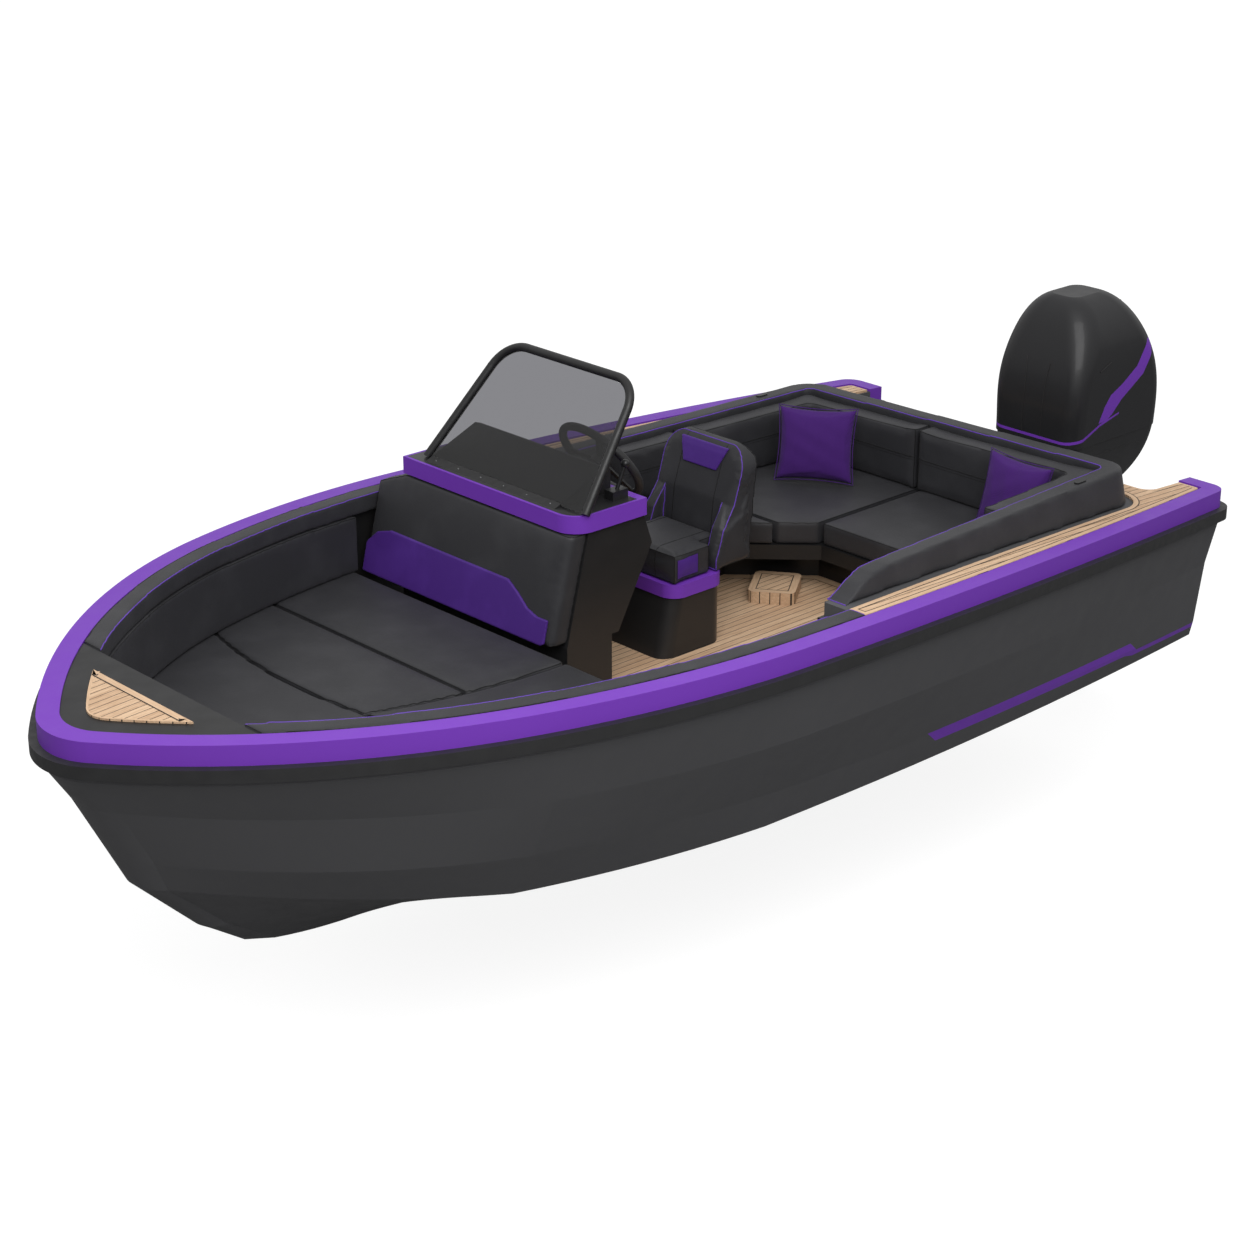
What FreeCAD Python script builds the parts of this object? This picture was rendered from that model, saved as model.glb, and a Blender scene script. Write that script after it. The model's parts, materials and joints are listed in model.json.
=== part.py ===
import FreeCAD, Part
import math
import os

V = FreeCAD.Vector
os.makedirs("parts", exist_ok=True)

# Driving sizes in millimetres. X runs forward to the bow, Y to port, Z up from the waterline

# Plan of the gunwale: arcs that run tangent into each other from the stern to the tip of the bow
stern_x = -3000
half_beam = 1412
widest_x = 58
aft_radius = 24600
shoulder_radius = 4370
shoulder_angle = math.radians(16)
bow_radius = 2602
nose_radius = 317
stern_corner = 90

# Heights of the gunwale's lower edge in side view, from the stern to the tip
sheer_heights = [748, 846, 900, 895, 852]
sheer_reach = 60
rise_length = 1570
fall_length = 770

# Transom, motor well and keel
transom_set_in = 110
keel_aft_z = -300
quarter_width = 218
well_length = 335
well_corner = 60
well_floor_z = 335

# Gunwale band, rub rail and decks
band_height = 85
band_width = 90
rail_proud = 35
rail_height = 55
deck_height = 70
teak_thick = 10
joint_gap = 0.3
teak_margin = 12
stripe_depth = 6

# Cockpit
hull_side = 40
bow_wall_inset = 120
liner_wall = 20
cockpit_floor_z = 290
liner_floor = 25
foredeck_length = 540
floor_teak_thick = 10
teak_edge = 8
cushion_seam = 3

# Bow lounge
lounge_aft_x = 380
lounge_base_z = 530
cushion_thick = 80
lounge_seam_x = 900
front_seam = [(1280, -1130), (1380, -500), (1350, 70)]
port_seam = [(1350, 70), (920, 190), (420, 240)]
side_pad_thick = 50

# Bow coaming pads and the foredeck
coaming_pad_height = 90
coaming_pad_inset = 185
bow_teak_length = 420
bow_teak_inset = 190
foredeck_height = 80
bow_teak_thick = 8

# Console, measured from its port side at the height of the band
console_inset = 372
console_width = 1140
console_top_z = 1100
console_top_front_x = 220
console_top_aft_x = -205
console_knee_x = -256
console_knee_z = 956
console_waist_z = 585
console_waist_aft_x = -53
console_waist_front_x = 352
console_corner = 110
plinth_inset = 40
backrest_thick = 100
backrest_corner = 40
rest_drop = 70
insert_thick = 14
insert_outline = [(-1330, 600), (-1330, 736), (-1256, 808), (-1160, 835), (-337, 834), (-265, 797),
                  (-182, 745), (-112, 726), (-45, 728), (-42, 625), (-70, 605)]
console_band_height = 80
console_band_proud = 14
hood_aft_x = -110
hood_top_z = 1300
hood_inset = 110
hood_port_inset = 150

# Windscreen
screen_base_x = 150
screen_top_x = -196
screen_base_z = 1185
screen_top_z = 1695
screen_base_insets = (75, -10)
screen_top_insets = (255, 30)
screen_corner = 125
screen_tube_r = 20
glass_thick = 6

# Steering wheel and helm controls
wheel_inset = 370
wheel_x = -290
wheel_z = 1240
wheel_radius = 215
wheel_rim_r = 19
wheel_tilt = math.radians(35)
hub_radius = 42
hub_thick = 36
spoke_width = 34
spoke_thick = 8
column_radius = 34
column_length = 200
column_gap = 1

# Helm seat
helm_inset = 365
helm_width = 530
helm_gap = 130
helm_depth = 390
pedestal_top_z = 585
pedestal_band = 65
pedestal_lean = 65
pedestal_corner = 70
band_proud = 10
helm_cushion_thick = 145
helm_nose_length = 245
helm_wing_thick = 75
helm_shoulder = 130
headrest_widths = (215, 310)
headrest_heights = (1070, 1180)

# Helm seat's back and wings from the side, as places forward of the pedestal's aft face and heights
helm_back_side = [(-50, 655), (-50, 800), (-65, 950), (-130, 1150), (-155, 1205), (-200, 1212),
                  (-230, 1150), (-210, 1000), (-180, 655)]
helm_wing_side = [(60, 655), (60, 700), (10, 842), (-90, 980), (-155, 1100), (-190, 1150), (-230, 1150),
                  (-210, 1000), (-180, 655)]

# Aft lounge and its coaming
aft_seat_z = 545
aft_cushion_thick = 115
aft_seat_depth = 945
corner_cut = 330
side_seat_gap = 190
side_seat_inset = 675
seat_shelf_thick = 75
toe_space = 160
step_height = 60
step_size = (280, 230)
step_corner = 35
side_split_gap = 420
back_split_y = -110
back_thick = 110
aft_coaming_front_x = -330
aft_coaming_set_in = 480
coaming_front_inset = 204
coaming_aft_inset = 174
aft_coaming_corner = 180
aft_coaming_draft = 110
aft_wall_offset = 130
coaming_port_top = 1035
coaming_starboard_top = 975
coaming_rise = [(0, 926), (74, 952), (149, 997), (237, 1025), (340, 1035)]
back_drop = 25

# Pillows, as places forward of the coaming and across, with turns in degrees
pillow_width = 400
pillow_height = 380
pillow_thick = 120
pillow_corner = 40
pillow_places = [(580, -500, 34, 16), (462, 640, -4, 13)]
fitting_place = (420, 78)

# Outboard motor, measured aft from its steering axis
tilt_set_in = 30
tilt_z = 600
steer_set_out = 130
bracket_gap = 75
bracket_plate = 16
plate_overhang = 60
plate_reach = 150
plate_foot = 60
plate_low_z = 40
knuckle_r = 34
knuckle_low_z = 300
yoke_room = 65
tilt_tube_r = 18
swivel_gap = 5
swivel_tube_r = 48
swivel_top_z = 440
swivel_low_z = 60
steer_shaft_r = 22
bore_gap = 0.05
cowl_wall = 8
stripe_thick = 4
cowl_sections = [(776, -112, 622, 272, 90), (950, -106, 620, 280, 90), (1130, -88, 590, 280, 100),
                 (1260, -58, 545, 266, 120), (1370, -22, 482, 232, 125), (1455, 20, 405, 170, 100),
                 (1505, 75, 310, 90, 60)]
rim_stripe = [(-140, 792), (-30, 812), (100, 868), (250, 904), (250, 914), (100, 882), (-30, 828),
              (-140, 806)]
side_stripe = [(85, 885), (125, 968), (168, 1021), (260, 1064), (374, 1133), (470, 1254), (520, 1254),
               (498, 1178), (429, 1083), (257, 978), (191, 914), (150, 890)]
lower_cowl_sections = [(776, -108, 620, 268, 88), (650, -70, 590, 245, 80), (470, 20, 490, 160, 70)]
powerhead_front = 40
powerhead_length = 390
powerhead_half_width = 150
powerhead_top_z = 1250
leg_foot_z = -325
leg_sections = [(560, 70, 390, 110, 50), (300, 70, 300, 72, 40), (leg_foot_z, 85, 270, 45, 30)]
strut_sections = [(leg_foot_z, 85, 270, 44, 30), (-500, 130, 260, 22, 15)]
prop_axis_z = -500
prop_hub_r = 52
prop_hub_length = 140
prop_shaft_r = 12
prop_gap = 6
blade_thick = 8
blade_sections = [(40, 90, 60), (100, 125, 40), (155, 60, 28)]
gearcase_radius = 58
gearcase_length = 300
gearcase_set_out = 90
skeg_bottom_z = -720
vent_plate_thick = 8
vent_plate_aft = 510
vent_plate_half_width = 110

far = 4000


def save(name, shape):
    shape.exportStep("parts/" + name + ".step")


def box(x0, x1, y0, y1, z0, z1):
    return Part.makeBox(x1 - x0, y1 - y0, z1 - z0, V(x0, y0, z0))


def span(x0, x1, y0=-far, y1=far, z0=-far, z1=far):
    """Space between two places along the boat, open to all sides that aren't given."""
    return box(x0, x1, y0, y1, z0, z1)


def flipped(shape):
    return shape.mirror(V(0, 0, 0), V(0, 1, 0))


def both_sides(shape):
    return Part.makeCompound([shape, flipped(shape)])


def prism_x(points, x0, x1):
    """An end-view polygon of (y, z) pairs, carried forward from x0 to x1."""
    wire = Part.makePolygon([V(x0, y, z) for y, z in points + points[:1]])
    return Part.Face(wire).extrude(V(x1 - x0, 0, 0))


def prism_y(points, y0, y1):
    """A side-view polygon of (x, z) pairs, carried across from y0 to y1."""
    wire = Part.makePolygon([V(x, y0, z) for x, z in points + points[:1]])
    return Part.Face(wire).extrude(V(0, y1 - y0, 0))


def prism_z(points, z0, z1):
    """A plan polygon of (x, y) pairs, carried up from z0 to z1."""
    wire = Part.makePolygon([V(x, y, z0) for x, y in points + points[:1]])
    return Part.Face(wire).extrude(V(0, 0, z1 - z0))


def upright_edges(shape, choose=lambda point: True):
    found = []
    for edge in shape.Edges:
        upright = abs(edge.tangentAt(edge.FirstParameter).z) > 0.8
        if upright and choose(edge.CenterOfMass):
            found.append(edge)
    return found


def rounded_box(x0, x1, y0, y1, z0, z1, radius):
    body = box(x0, x1, y0, y1, z0, z1)
    return body.makeFillet(radius, upright_edges(body))


# Plan of the gunwale
aft_centre = V(widest_x, half_beam - aft_radius, 0)
shoulder_centre = V(widest_x, half_beam - shoulder_radius, 0)
shoulder_lean = V(math.sin(shoulder_angle), math.cos(shoulder_angle), 0)
bow_centre = shoulder_centre + shoulder_lean * (shoulder_radius - bow_radius)
nose_reach = math.sqrt((bow_radius - nose_radius) ** 2 - bow_centre.y ** 2)
nose_centre = V(bow_centre.x + nose_reach, 0, 0)
nose_angle = math.atan2(nose_reach, -bow_centre.y)
tip_x = nose_centre.x + nose_radius


def plan_y(x):
    """Half width of the gunwale at a place aft of the widest one."""
    return aft_centre.y + math.sqrt(aft_radius ** 2 - (x - widest_x) ** 2)


def polar(centre, radius, angle):
    return V(centre.x + radius * math.sin(angle), centre.y + radius * math.cos(angle), 0)


def plan_arcs(inset, aft_x):
    """Port side of the plan, stern to tip, as (start, middle, end) of each arc."""
    corner = max(stern_corner - inset, 20)
    radius = aft_radius - inset
    x = aft_x + corner - aft_centre.x
    centre = V(aft_x + corner, aft_centre.y + math.sqrt((radius - corner) ** 2 - x ** 2), 0)
    lean = math.atan2(centre.x - aft_centre.x, centre.y - aft_centre.y)
    turns = [(centre, corner, -math.pi / 2, lean),
             (aft_centre, radius, lean, 0),
             (shoulder_centre, shoulder_radius - inset, 0, shoulder_angle),
             (bow_centre, bow_radius - inset, shoulder_angle, nose_angle),
             (nose_centre, nose_radius - inset, nose_angle, math.pi / 2)]
    return [[polar(c, r, a + (b - a) * t) for t in (0, 0.5, 1)] for c, r, a, b in turns]


def plan_face(inset, aft_x, z):
    lift = V(0, 0, z)
    port = [Part.Arc(*[p + lift for p in arc]).toShape() for arc in plan_arcs(inset, aft_x)]
    starboard = [e.mirror(V(0, 0, 0), V(0, 1, 0)) for e in port]
    start = port[0].Vertexes[0].Point
    stern = Part.makeLine(V(start.x, -start.y, z), start)
    return Part.Face(Part.Wire(Part.__sortEdges__(port + starboard + [stern])))


def plan_prism(inset, z0, z1):
    return plan_face(inset, stern_x + inset, z0).extrude(V(0, 0, z1 - z0))


# Side view of the gunwale's lower edge, as two arcs that meet at its highest place
sheer_top_x = tip_x - rise_length
sheer_start_x = stern_x - sheer_reach
sheer_mid_x = (sheer_start_x + sheer_top_x) / 2
sheer_x = [sheer_start_x, sheer_mid_x, sheer_top_x, tip_x - fall_length, tip_x + sheer_reach]
sheer_points = [V(x, 0, z) for x, z in zip(sheer_x, sheer_heights)]
sheer_arcs = [sheer_points[:3], sheer_points[2:]]


def circle_height(x, a, b, c):
    """Height at x of the arc through three points of the side view."""
    d = 2 * (a.x * (b.z - c.z) + b.x * (c.z - a.z) + c.x * (a.z - b.z))
    sa, sb, sc = [p.x ** 2 + p.z ** 2 for p in (a, b, c)]
    cx = (sa * (b.z - c.z) + sb * (c.z - a.z) + sc * (a.z - b.z)) / d
    cz = (sa * (c.x - b.x) + sb * (a.x - c.x) + sc * (b.x - a.x)) / d
    radius = math.hypot(a.x - cx, a.z - cz)
    return cz + math.sqrt(radius ** 2 - (x - cx) ** 2)


def sheer_z(x):
    return circle_height(x, *sheer_arcs[0 if x <= sheer_top_x else 1])


def below_sheer(lift):
    """Everything lower than the gunwale's side-view line, raised by lift."""
    up = V(0, -far, lift)
    top = [Part.Arc(*[p + up for p in arc]).toShape() for arc in sheer_arcs]
    first, last = sheer_points[0] + up, sheer_points[-1] + up
    corners = [last, V(last.x, last.y, -far), V(first.x, first.y, -far), first]
    rest = [Part.makeLine(corners[i], corners[i + 1]) for i in range(3)]
    return Part.Face(Part.Wire(top + rest)).extrude(V(0, 2 * far, 0))


def sheer_slab(shape, low, high):
    """The part of a tall shape that lies between two heights over the gunwale line."""
    return shape.common(below_sheer(high)).cut(below_sheer(low))


# Hull lines, drawn for this length and half beam: (x, y, z) at seven places and (x, z) at the stem
lines_aft_x = -3000
lines_length = 5770
lines_half_beam = 1412
hull_lines = [
    ("keel", 0, [(-2870, 0, -300), (-1450, 0, -345), (50, 0, -360), (650, 0, -360), (1250, 0, -352),
                 (1550, 0, -335), (1800, 0, -296)], (1950, -248)),
    ("strake", 0, [(-2870, 570, -115), (-1450, 585, -140), (50, 555, -150), (650, 495, -150),
                   (1250, 400, -138), (1760, 240, -112), (2080, 80, -92)], (2180, -86)),
    ("chine", 10, [(-2900, 1130, 70), (-1450, 1165, 45), (50, 1120, 30), (650, 1020, 32),
                   (1250, 880, 52), (1930, 520, 135), (2380, 130, 185)], (2462, 195)),
    ("lower crease", 50, [(-2900, 1160, 150), (-1450, 1212, 180), (50, 1190, 220), (650, 1125, 245),
                          (1250, 1010, 272), (1950, 655, 312), (2450, 160, 335)], (2533, 340)),
    ("upper crease", 80, [(-2900, 1190, 460), (-1450, 1308, 490), (50, 1340, 525), (650, 1275, 540),
                          (1250, 1145, 560), (1985, 760, 590), (2600, 175, 610)], (2668, 612)),
]
hull_top_z = 1000


def fair_x(x):
    """Place along this boat of a station of the hull lines."""
    return stern_x + (x - lines_aft_x) * (tip_x - stern_x) / lines_length


def fair_y(y):
    return y * half_beam / lines_half_beam


def transom_x(z):
    rake = transom_set_in / (sheer_z(stern_x) - keel_aft_z)
    return stern_x + transom_set_in - rake * (z - keel_aft_z)


def stem_arc(start, tip):
    """Round of the stem: the level arc from a line's last place to its tip on the centreline."""
    cx = (start.x ** 2 + start.y ** 2 - tip.x ** 2) / (2 * (start.x - tip.x))
    radius = tip.x - cx
    half = math.atan2(start.y, start.x - cx) / 2
    return V(cx + radius * math.cos(half), radius * math.sin(half), (start.z + tip.z) / 2)


def hull_line(corner, places, tip):
    """Edges of one line of the port side, from the transom's flat to the stem."""
    p = [V(fair_x(x), fair_y(y), z) for x, y, z in places]
    end = V(fair_x(tip[0]), 0, tip[1])
    x = transom_x(p[0].z)
    if corner:
        first = V(x, p[0].y - corner, p[0].z)
        p[0] = V(x + corner, p[0].y, p[0].z)
        bend = corner * (1 - math.sqrt(0.5))
        edges = [Part.Arc(first, V(x + bend, p[0].y - bend, p[0].z), p[0]).toShape()]
    else:
        edges = [Part.makeLine(V(x, p[0].y, p[0].z), p[0])]
    for i in (0, 2, 4):
        edges.append(Part.Arc(p[i], p[i + 1], p[i + 2]).toShape())
    if p[6].y:
        edges.append(Part.Arc(p[6], stem_arc(p[6], end), end).toShape())
    else:
        edges.append(Part.makeLine(p[6], end))
    return edges


def level_line(z_of):
    """The gunwale's own plan, at a height given for each x."""
    aft = stern_x
    for turn in range(6):
        aft = transom_x(z_of(aft))
    return [Part.Arc(*[V(p.x, p.y, z_of(p.x)) for p in arc]).toShape() for arc in plan_arcs(0, aft)]


def ends(edge):
    return edge.valueAt(edge.FirstParameter), edge.valueAt(edge.LastParameter)


def make_half_hull():
    lines = [hull_line(corner, places, tip) for name, corner, places, tip in hull_lines]
    lines.append(level_line(lambda x: sheer_z(x) - band_height))
    lines.append(level_line(lambda x: hull_top_z))
    faces = []
    for low, high in zip(lines, lines[1:]):
        faces += [Part.makeRuledSurface(a, b) for a, b in zip(low, high)]
    top_start = ends(lines[-1][0])[0]
    top_end = ends(lines[-1][-1])[1]
    mid_start = V(top_start.x, 0, top_start.z)
    centre_top = Part.makeLine(mid_start, top_end)
    aft_top = Part.makeLine(mid_start, top_start)
    faces.append(Part.Face(Part.Wire(Part.__sortEdges__(lines[-1] + [centre_top, aft_top]))))
    starts = [ends(line[0])[0] for line in lines]
    faces.append(Part.Face(Part.makePolygon(starts + [mid_start, starts[0]])))
    stem = [Part.makeLine(ends(a[-1])[1], ends(b[-1])[1]) for a, b in zip(lines, lines[1:])]
    middle = lines[0] + stem + [centre_top, Part.makeLine(mid_start, starts[0])]
    faces.append(Part.Face(Part.Wire(Part.__sortEdges__(middle))))
    shell = Part.Shell(faces)
    shell.sewShape()
    return Part.Solid(Part.Shell(shell.Faces))


half = make_half_hull()
whole = half.fuse(flipped(half)).removeSplitter()


def inside_hull(shape, wall):
    """The part of a shape that keeps at least a wall's thickness inside the hull's sides."""
    port = half.translated(V(0, -wall, 0))
    return shape.common(port.fuse(flipped(port)))


# Plan of the aft coaming and of the cockpit
bulkhead_x = tip_x - foredeck_length
aft_coaming_x = stern_x + aft_coaming_set_in
coaming_front_y = plan_y(aft_coaming_front_x) - coaming_front_inset
coaming_aft_y = plan_y(aft_coaming_x) - coaming_aft_inset
coaming_slope = (coaming_front_y - coaming_aft_y) / (aft_coaming_front_x - aft_coaming_x)


def coaming_wire(offset, z, reach=0):
    """Plan of the aft coaming, stepped inwards by offset and carried forward by reach."""
    corner = max(aft_coaming_corner - offset, 40)
    aft = aft_coaming_x + offset
    y = coaming_aft_y - offset
    bend = corner * math.sqrt(0.5)
    centre = V(aft + corner, y - corner, z)
    front_y = coaming_front_y - offset + coaming_slope * reach
    front = V(aft_coaming_front_x + reach, front_y, z)
    turn = [V(centre.x, y, z), centre + V(-bend, bend, 0), V(aft, centre.y, z)]
    port = [Part.makeLine(front, turn[0]), Part.Arc(*turn).toShape()]
    starboard = [e.mirror(V(0, 0, 0), V(0, 1, 0)) for e in port]
    stern = Part.makeLine(turn[2], V(turn[2].x, -turn[2].y, z))
    fore = Part.makeLine(front, V(front.x, -front.y, z))
    return Part.Wire(Part.__sortEdges__(port + starboard + [stern, fore]))


def coaming_prism(offset, z0, z1, reach=0):
    return Part.Face(coaming_wire(offset, z0, reach)).extrude(V(0, 0, z1 - z0))


def make_pocket(wall, floor):
    """Space of the cockpits and the footwell, less a wall and floor of the given thickness."""
    aft_end = aft_coaming_front_x + wall
    base = cockpit_floor_z - liner_floor + floor
    bow = plan_prism(bow_wall_inset + wall, lounge_base_z - liner_floor + floor, hull_top_z)
    bow = bow.common(span(aft_end, bulkhead_x - wall))
    foot = plan_prism(bow_wall_inset + wall, base, hull_top_z).common(span(aft_end, lounge_aft_x - wall))
    aft = coaming_prism(aft_wall_offset + wall, base, hull_top_z, reach=2 * liner_wall)
    forward = inside_hull(bow.fuse(foot), hull_side + wall)
    return forward.fuse(aft).removeSplitter()


# Hull, hollowed for the cockpits and the motor well
well_half_width = plan_y(stern_x) - quarter_width
well = rounded_box(stern_x - far, stern_x + well_length, -well_half_width, well_half_width, well_floor_z,
                   hull_top_z + far, well_corner)
pocket = make_pocket(0, 0)
stripe_side = prism_y([(fair_x(x), z) for x, z in [(-870, 205), (-2350, 205), (-2420, 150), (-2960, 150),
                                                   (-2960, 122), (-2400, 122), (-2330, 140), (-950, 140)]],
                      0, far)
stripe = half.common(stripe_side).cut(half.translated(V(0, -stripe_depth, 0)))
hull = whole.common(below_sheer(0)).cut([pocket, well, stripe, flipped(stripe)])
save("hull", hull)
save("hull_stripes", both_sides(stripe))

inner_pocket = make_pocket(liner_wall, liner_floor)
liner = pocket.cut(inner_pocket).common(below_sheer(0))
save("cockpit_liner", liner)

# Gunwale band and the dark rub rail below it, both open across the motor well
ring = plan_prism(0, 0, far).cut(plan_prism(band_width, -far, 2 * far))
band = sheer_slab(ring.cut(well), 0, band_height)
save("gunwale_band", band)
rail = sheer_slab(plan_prism(-rail_proud, 0, far), -rail_height, 0)
save("rub_rail", rail.cut([whole, well]))

# Decks inside the band: side and stern decks with teak on top, and the foredeck
inside_band = plan_prism(band_width + joint_gap, 0, far)
deck_space = span(stern_x, aft_coaming_front_x)
deck_plan = inside_band.common(deck_space).cut([coaming_prism(aft_wall_offset, -far, far), well])
save("side_deck", sheer_slab(deck_plan, 0, deck_height))
teak_plan = plan_prism(band_width + teak_margin, 0, far).common(deck_space)
teak_well = rounded_box(stern_x - far, stern_x + well_length + teak_margin, -well_half_width - teak_margin,
                        well_half_width + teak_margin, -far, far, well_corner + teak_margin)
teak_plan = teak_plan.cut([coaming_prism(-teak_margin, -far, far), teak_well])
save("deck_teak", sheer_slab(teak_plan, deck_height, deck_height + teak_thick))

foredeck = sheer_slab(inside_band.common(span(bulkhead_x, tip_x)), 0, foredeck_height)
save("foredeck", foredeck)
bow_teak_plan = plan_prism(bow_teak_inset, 0, far).common(span(tip_x - bow_teak_length, tip_x))
save("bow_teak", sheer_slab(bow_teak_plan, foredeck_height, foredeck_height + bow_teak_thick))

# Padded coamings of the bow cockpit, one each side
pad_plan = inside_band.cut(plan_prism(coaming_pad_inset, -far, 2 * far))
pad_plan = pad_plan.common(span(aft_coaming_front_x + joint_gap, bulkhead_x - joint_gap, 0))
bow_pad = sheer_slab(pad_plan, joint_gap, coaming_pad_height)
save("bow_coaming_port", bow_pad)
save("bow_coaming_starboard", flipped(bow_pad))

# Upholstery on the bow cockpit's walls
soft_wall = bow_wall_inset + liner_wall + joint_gap
soft_side = hull_side + liner_wall + joint_gap
wall_front = bulkhead_x - liner_wall - joint_gap
cushion_top = lounge_base_z + cushion_thick
pad_low = cushion_top + 2 * joint_gap
outer_pad = plan_prism(soft_wall, pad_low, hull_top_z).common(span(lounge_aft_x, wall_front))
inner_pad = plan_prism(soft_wall + side_pad_thick, 0, far).common(span(0, wall_front - side_pad_thick))
wall_pads = inside_hull(outer_pad, soft_side).cut(inside_hull(inner_pad, soft_side + side_pad_thick))
save("bow_wall_pads", wall_pads.common(below_sheer(0)))


def seam_cylinder(points, radius_step=0):
    """Everything on the hollow side of a seam's arc."""
    circle = Part.Arc(*[V(x, y, 0) for x, y in points]).toShape().Curve
    return Part.makeCylinder(circle.Radius + radius_step, far, circle.Center)


# Bow lounge cushions, parted along the seams
lounge = inside_hull(plan_prism(soft_wall, lounge_base_z + joint_gap, cushion_top), soft_side)
lounge = lounge.common(span(lounge_aft_x, wall_front))
behind_front_seam = seam_cylinder(front_seam, -cushion_seam)
lounge_main = lounge.common(behind_front_seam).common(seam_cylinder(port_seam, -cushion_seam))
save("bow_cushion_front", lounge.cut(seam_cylinder(front_seam)))
save("bow_cushion_middle", lounge_main.common(span(lounge_seam_x + cushion_seam, tip_x)))
save("bow_cushion_aft", lounge_main.common(span(lounge_aft_x, lounge_seam_x)))
save("bow_cushion_port", lounge.common(behind_front_seam).cut(seam_cylinder(port_seam)))

# Console places that follow from its width
console_starboard_y = console_inset - half_beam
console_port_y = console_starboard_y + console_width
wheel_y = console_port_y - wheel_inset
helm_y = console_port_y - helm_inset
helm_front_x = wheel_x - helm_gap
helm_aft_x = helm_front_x - helm_depth

# Floor teak, with the aft seats' base standing on the liner behind it
aft_seat_x = aft_coaming_x + aft_seat_depth
side_seat_front_x = helm_aft_x - side_seat_gap
side_seat_y = side_seat_inset - coaming_aft_y


def in_front_of_seats(set_back):
    """Plan space before the aft seats, carried in under them by set_back."""
    x, y = aft_seat_x - set_back, side_seat_y - set_back
    return prism_z([(x, far), (x, y + corner_cut), (x + corner_cut, y), (side_seat_front_x, y),
                    (side_seat_front_x, -far), (far, -far), (far, far)], 0, far)


open_floor = in_front_of_seats(0)
aft_inside = coaming_prism(aft_wall_offset + liner_wall, cockpit_floor_z, far).common(span(-far, 0))
shelf_low_z = aft_seat_z - seat_shelf_thick
seat_base = aft_inside.common(span(-far, far, z1=shelf_low_z)).cut(in_front_of_seats(toe_space))
seat_shelf = aft_inside.common(span(-far, far, z0=shelf_low_z, z1=aft_seat_z)).cut(open_floor)
side_panel = aft_inside.common(span(side_seat_front_x - seat_shelf_thick, side_seat_front_x, z1=shelf_low_z))
side_panel = side_panel.cut(open_floor)
floor_z = cockpit_floor_z + floor_teak_thick
low_floor = make_pocket(liner_wall + teak_edge, liner_floor)
floor_space = span(-far, lounge_aft_x - liner_wall - teak_edge, z0=cockpit_floor_z, z1=floor_z)
floor_teak = low_floor.common(in_front_of_seats(toe_space)).common(floor_space)
save("floor_teak", floor_teak)
seat_base = seat_base.fuse([seat_shelf, side_panel]).removeSplitter()
save("aft_seat_base", seat_base.cut([floor_teak, liner]))
steps = []
for x, y, turn in [(aft_seat_x + 173, side_seat_y + 191, 36), (aft_seat_x - 15, side_seat_y + 783, 0)]:
    half_x, half_y = step_size[0] / 2, step_size[1] / 2
    step = rounded_box(-half_x, half_x, -half_y, half_y, 0, step_height, step_corner)
    step.rotate(V(0, 0, 0), V(0, 0, 1), turn)
    steps.append(step.translated(V(x, y, floor_z)))
save("aft_steps", Part.makeCompound(steps))

# Aft seat cushions and backrests, parted at the corner
seat_top = aft_seat_z + aft_cushion_thick
side_split_x = side_seat_front_x - side_split_gap
split = {
    "starboard": span(side_split_x, far, -far, 0),
    "corner": span(-far, side_split_x - cushion_seam, -far, back_split_y),
    "transom": span(-far, far, back_split_y + cushion_seam, far),
}


def below_slant(drop):
    """Everything lower than the coaming's top, which rises from starboard to port."""
    low, high = coaming_starboard_top - drop, coaming_port_top - drop
    slope = (high - low) / (2 * coaming_aft_y)
    rise = slope * (far - coaming_aft_y)
    return prism_x([(-far, -far), (far, -far), (far, high + rise), (-far, low - rise)], -far, far)


soft_offset = aft_wall_offset + liner_wall + joint_gap
soft_inside = coaming_prism(soft_offset, 0, far)
seat_soft = soft_inside.common(span(-far, 0, z0=aft_seat_z + joint_gap, z1=seat_top)).cut(open_floor)
back_soft = soft_inside.cut(coaming_prism(soft_offset + back_thick, -far, 2 * far))
back_soft = back_soft.common(span(-far, 0, z0=seat_top + joint_gap)).common(below_slant(back_drop))
back_soft = back_soft.cut(open_floor)
for name, space in split.items():
    save("aft_cushion_" + name, seat_soft.common(space))
    save("aft_back_" + name, back_soft.common(space))

# Aft coaming round the seats, drafted inwards, with its rising front ends
coaming_low_z = sheer_heights[0]
coaming_high_z = 2 * coaming_port_top - coaming_low_z
coaming_plans = [coaming_wire(0, coaming_low_z), coaming_wire(aft_coaming_draft, coaming_high_z)]
coaming = Part.makeLoft(coaming_plans, True, True)
coaming = coaming.cut(coaming_prism(aft_wall_offset + liner_wall, 0, far))
rise_side = [(aft_coaming_front_x, 0)] + [(aft_coaming_front_x - back, z) for back, z in coaming_rise]
front_slope = prism_y(rise_side + [(rise_side[-1][0], far), (-far, far), (-far, 0)], -far, far)
coaming = coaming.cut(below_sheer(deck_height + joint_gap)).common(front_slope).common(below_slant(0))
save("aft_coaming", coaming)

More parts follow.
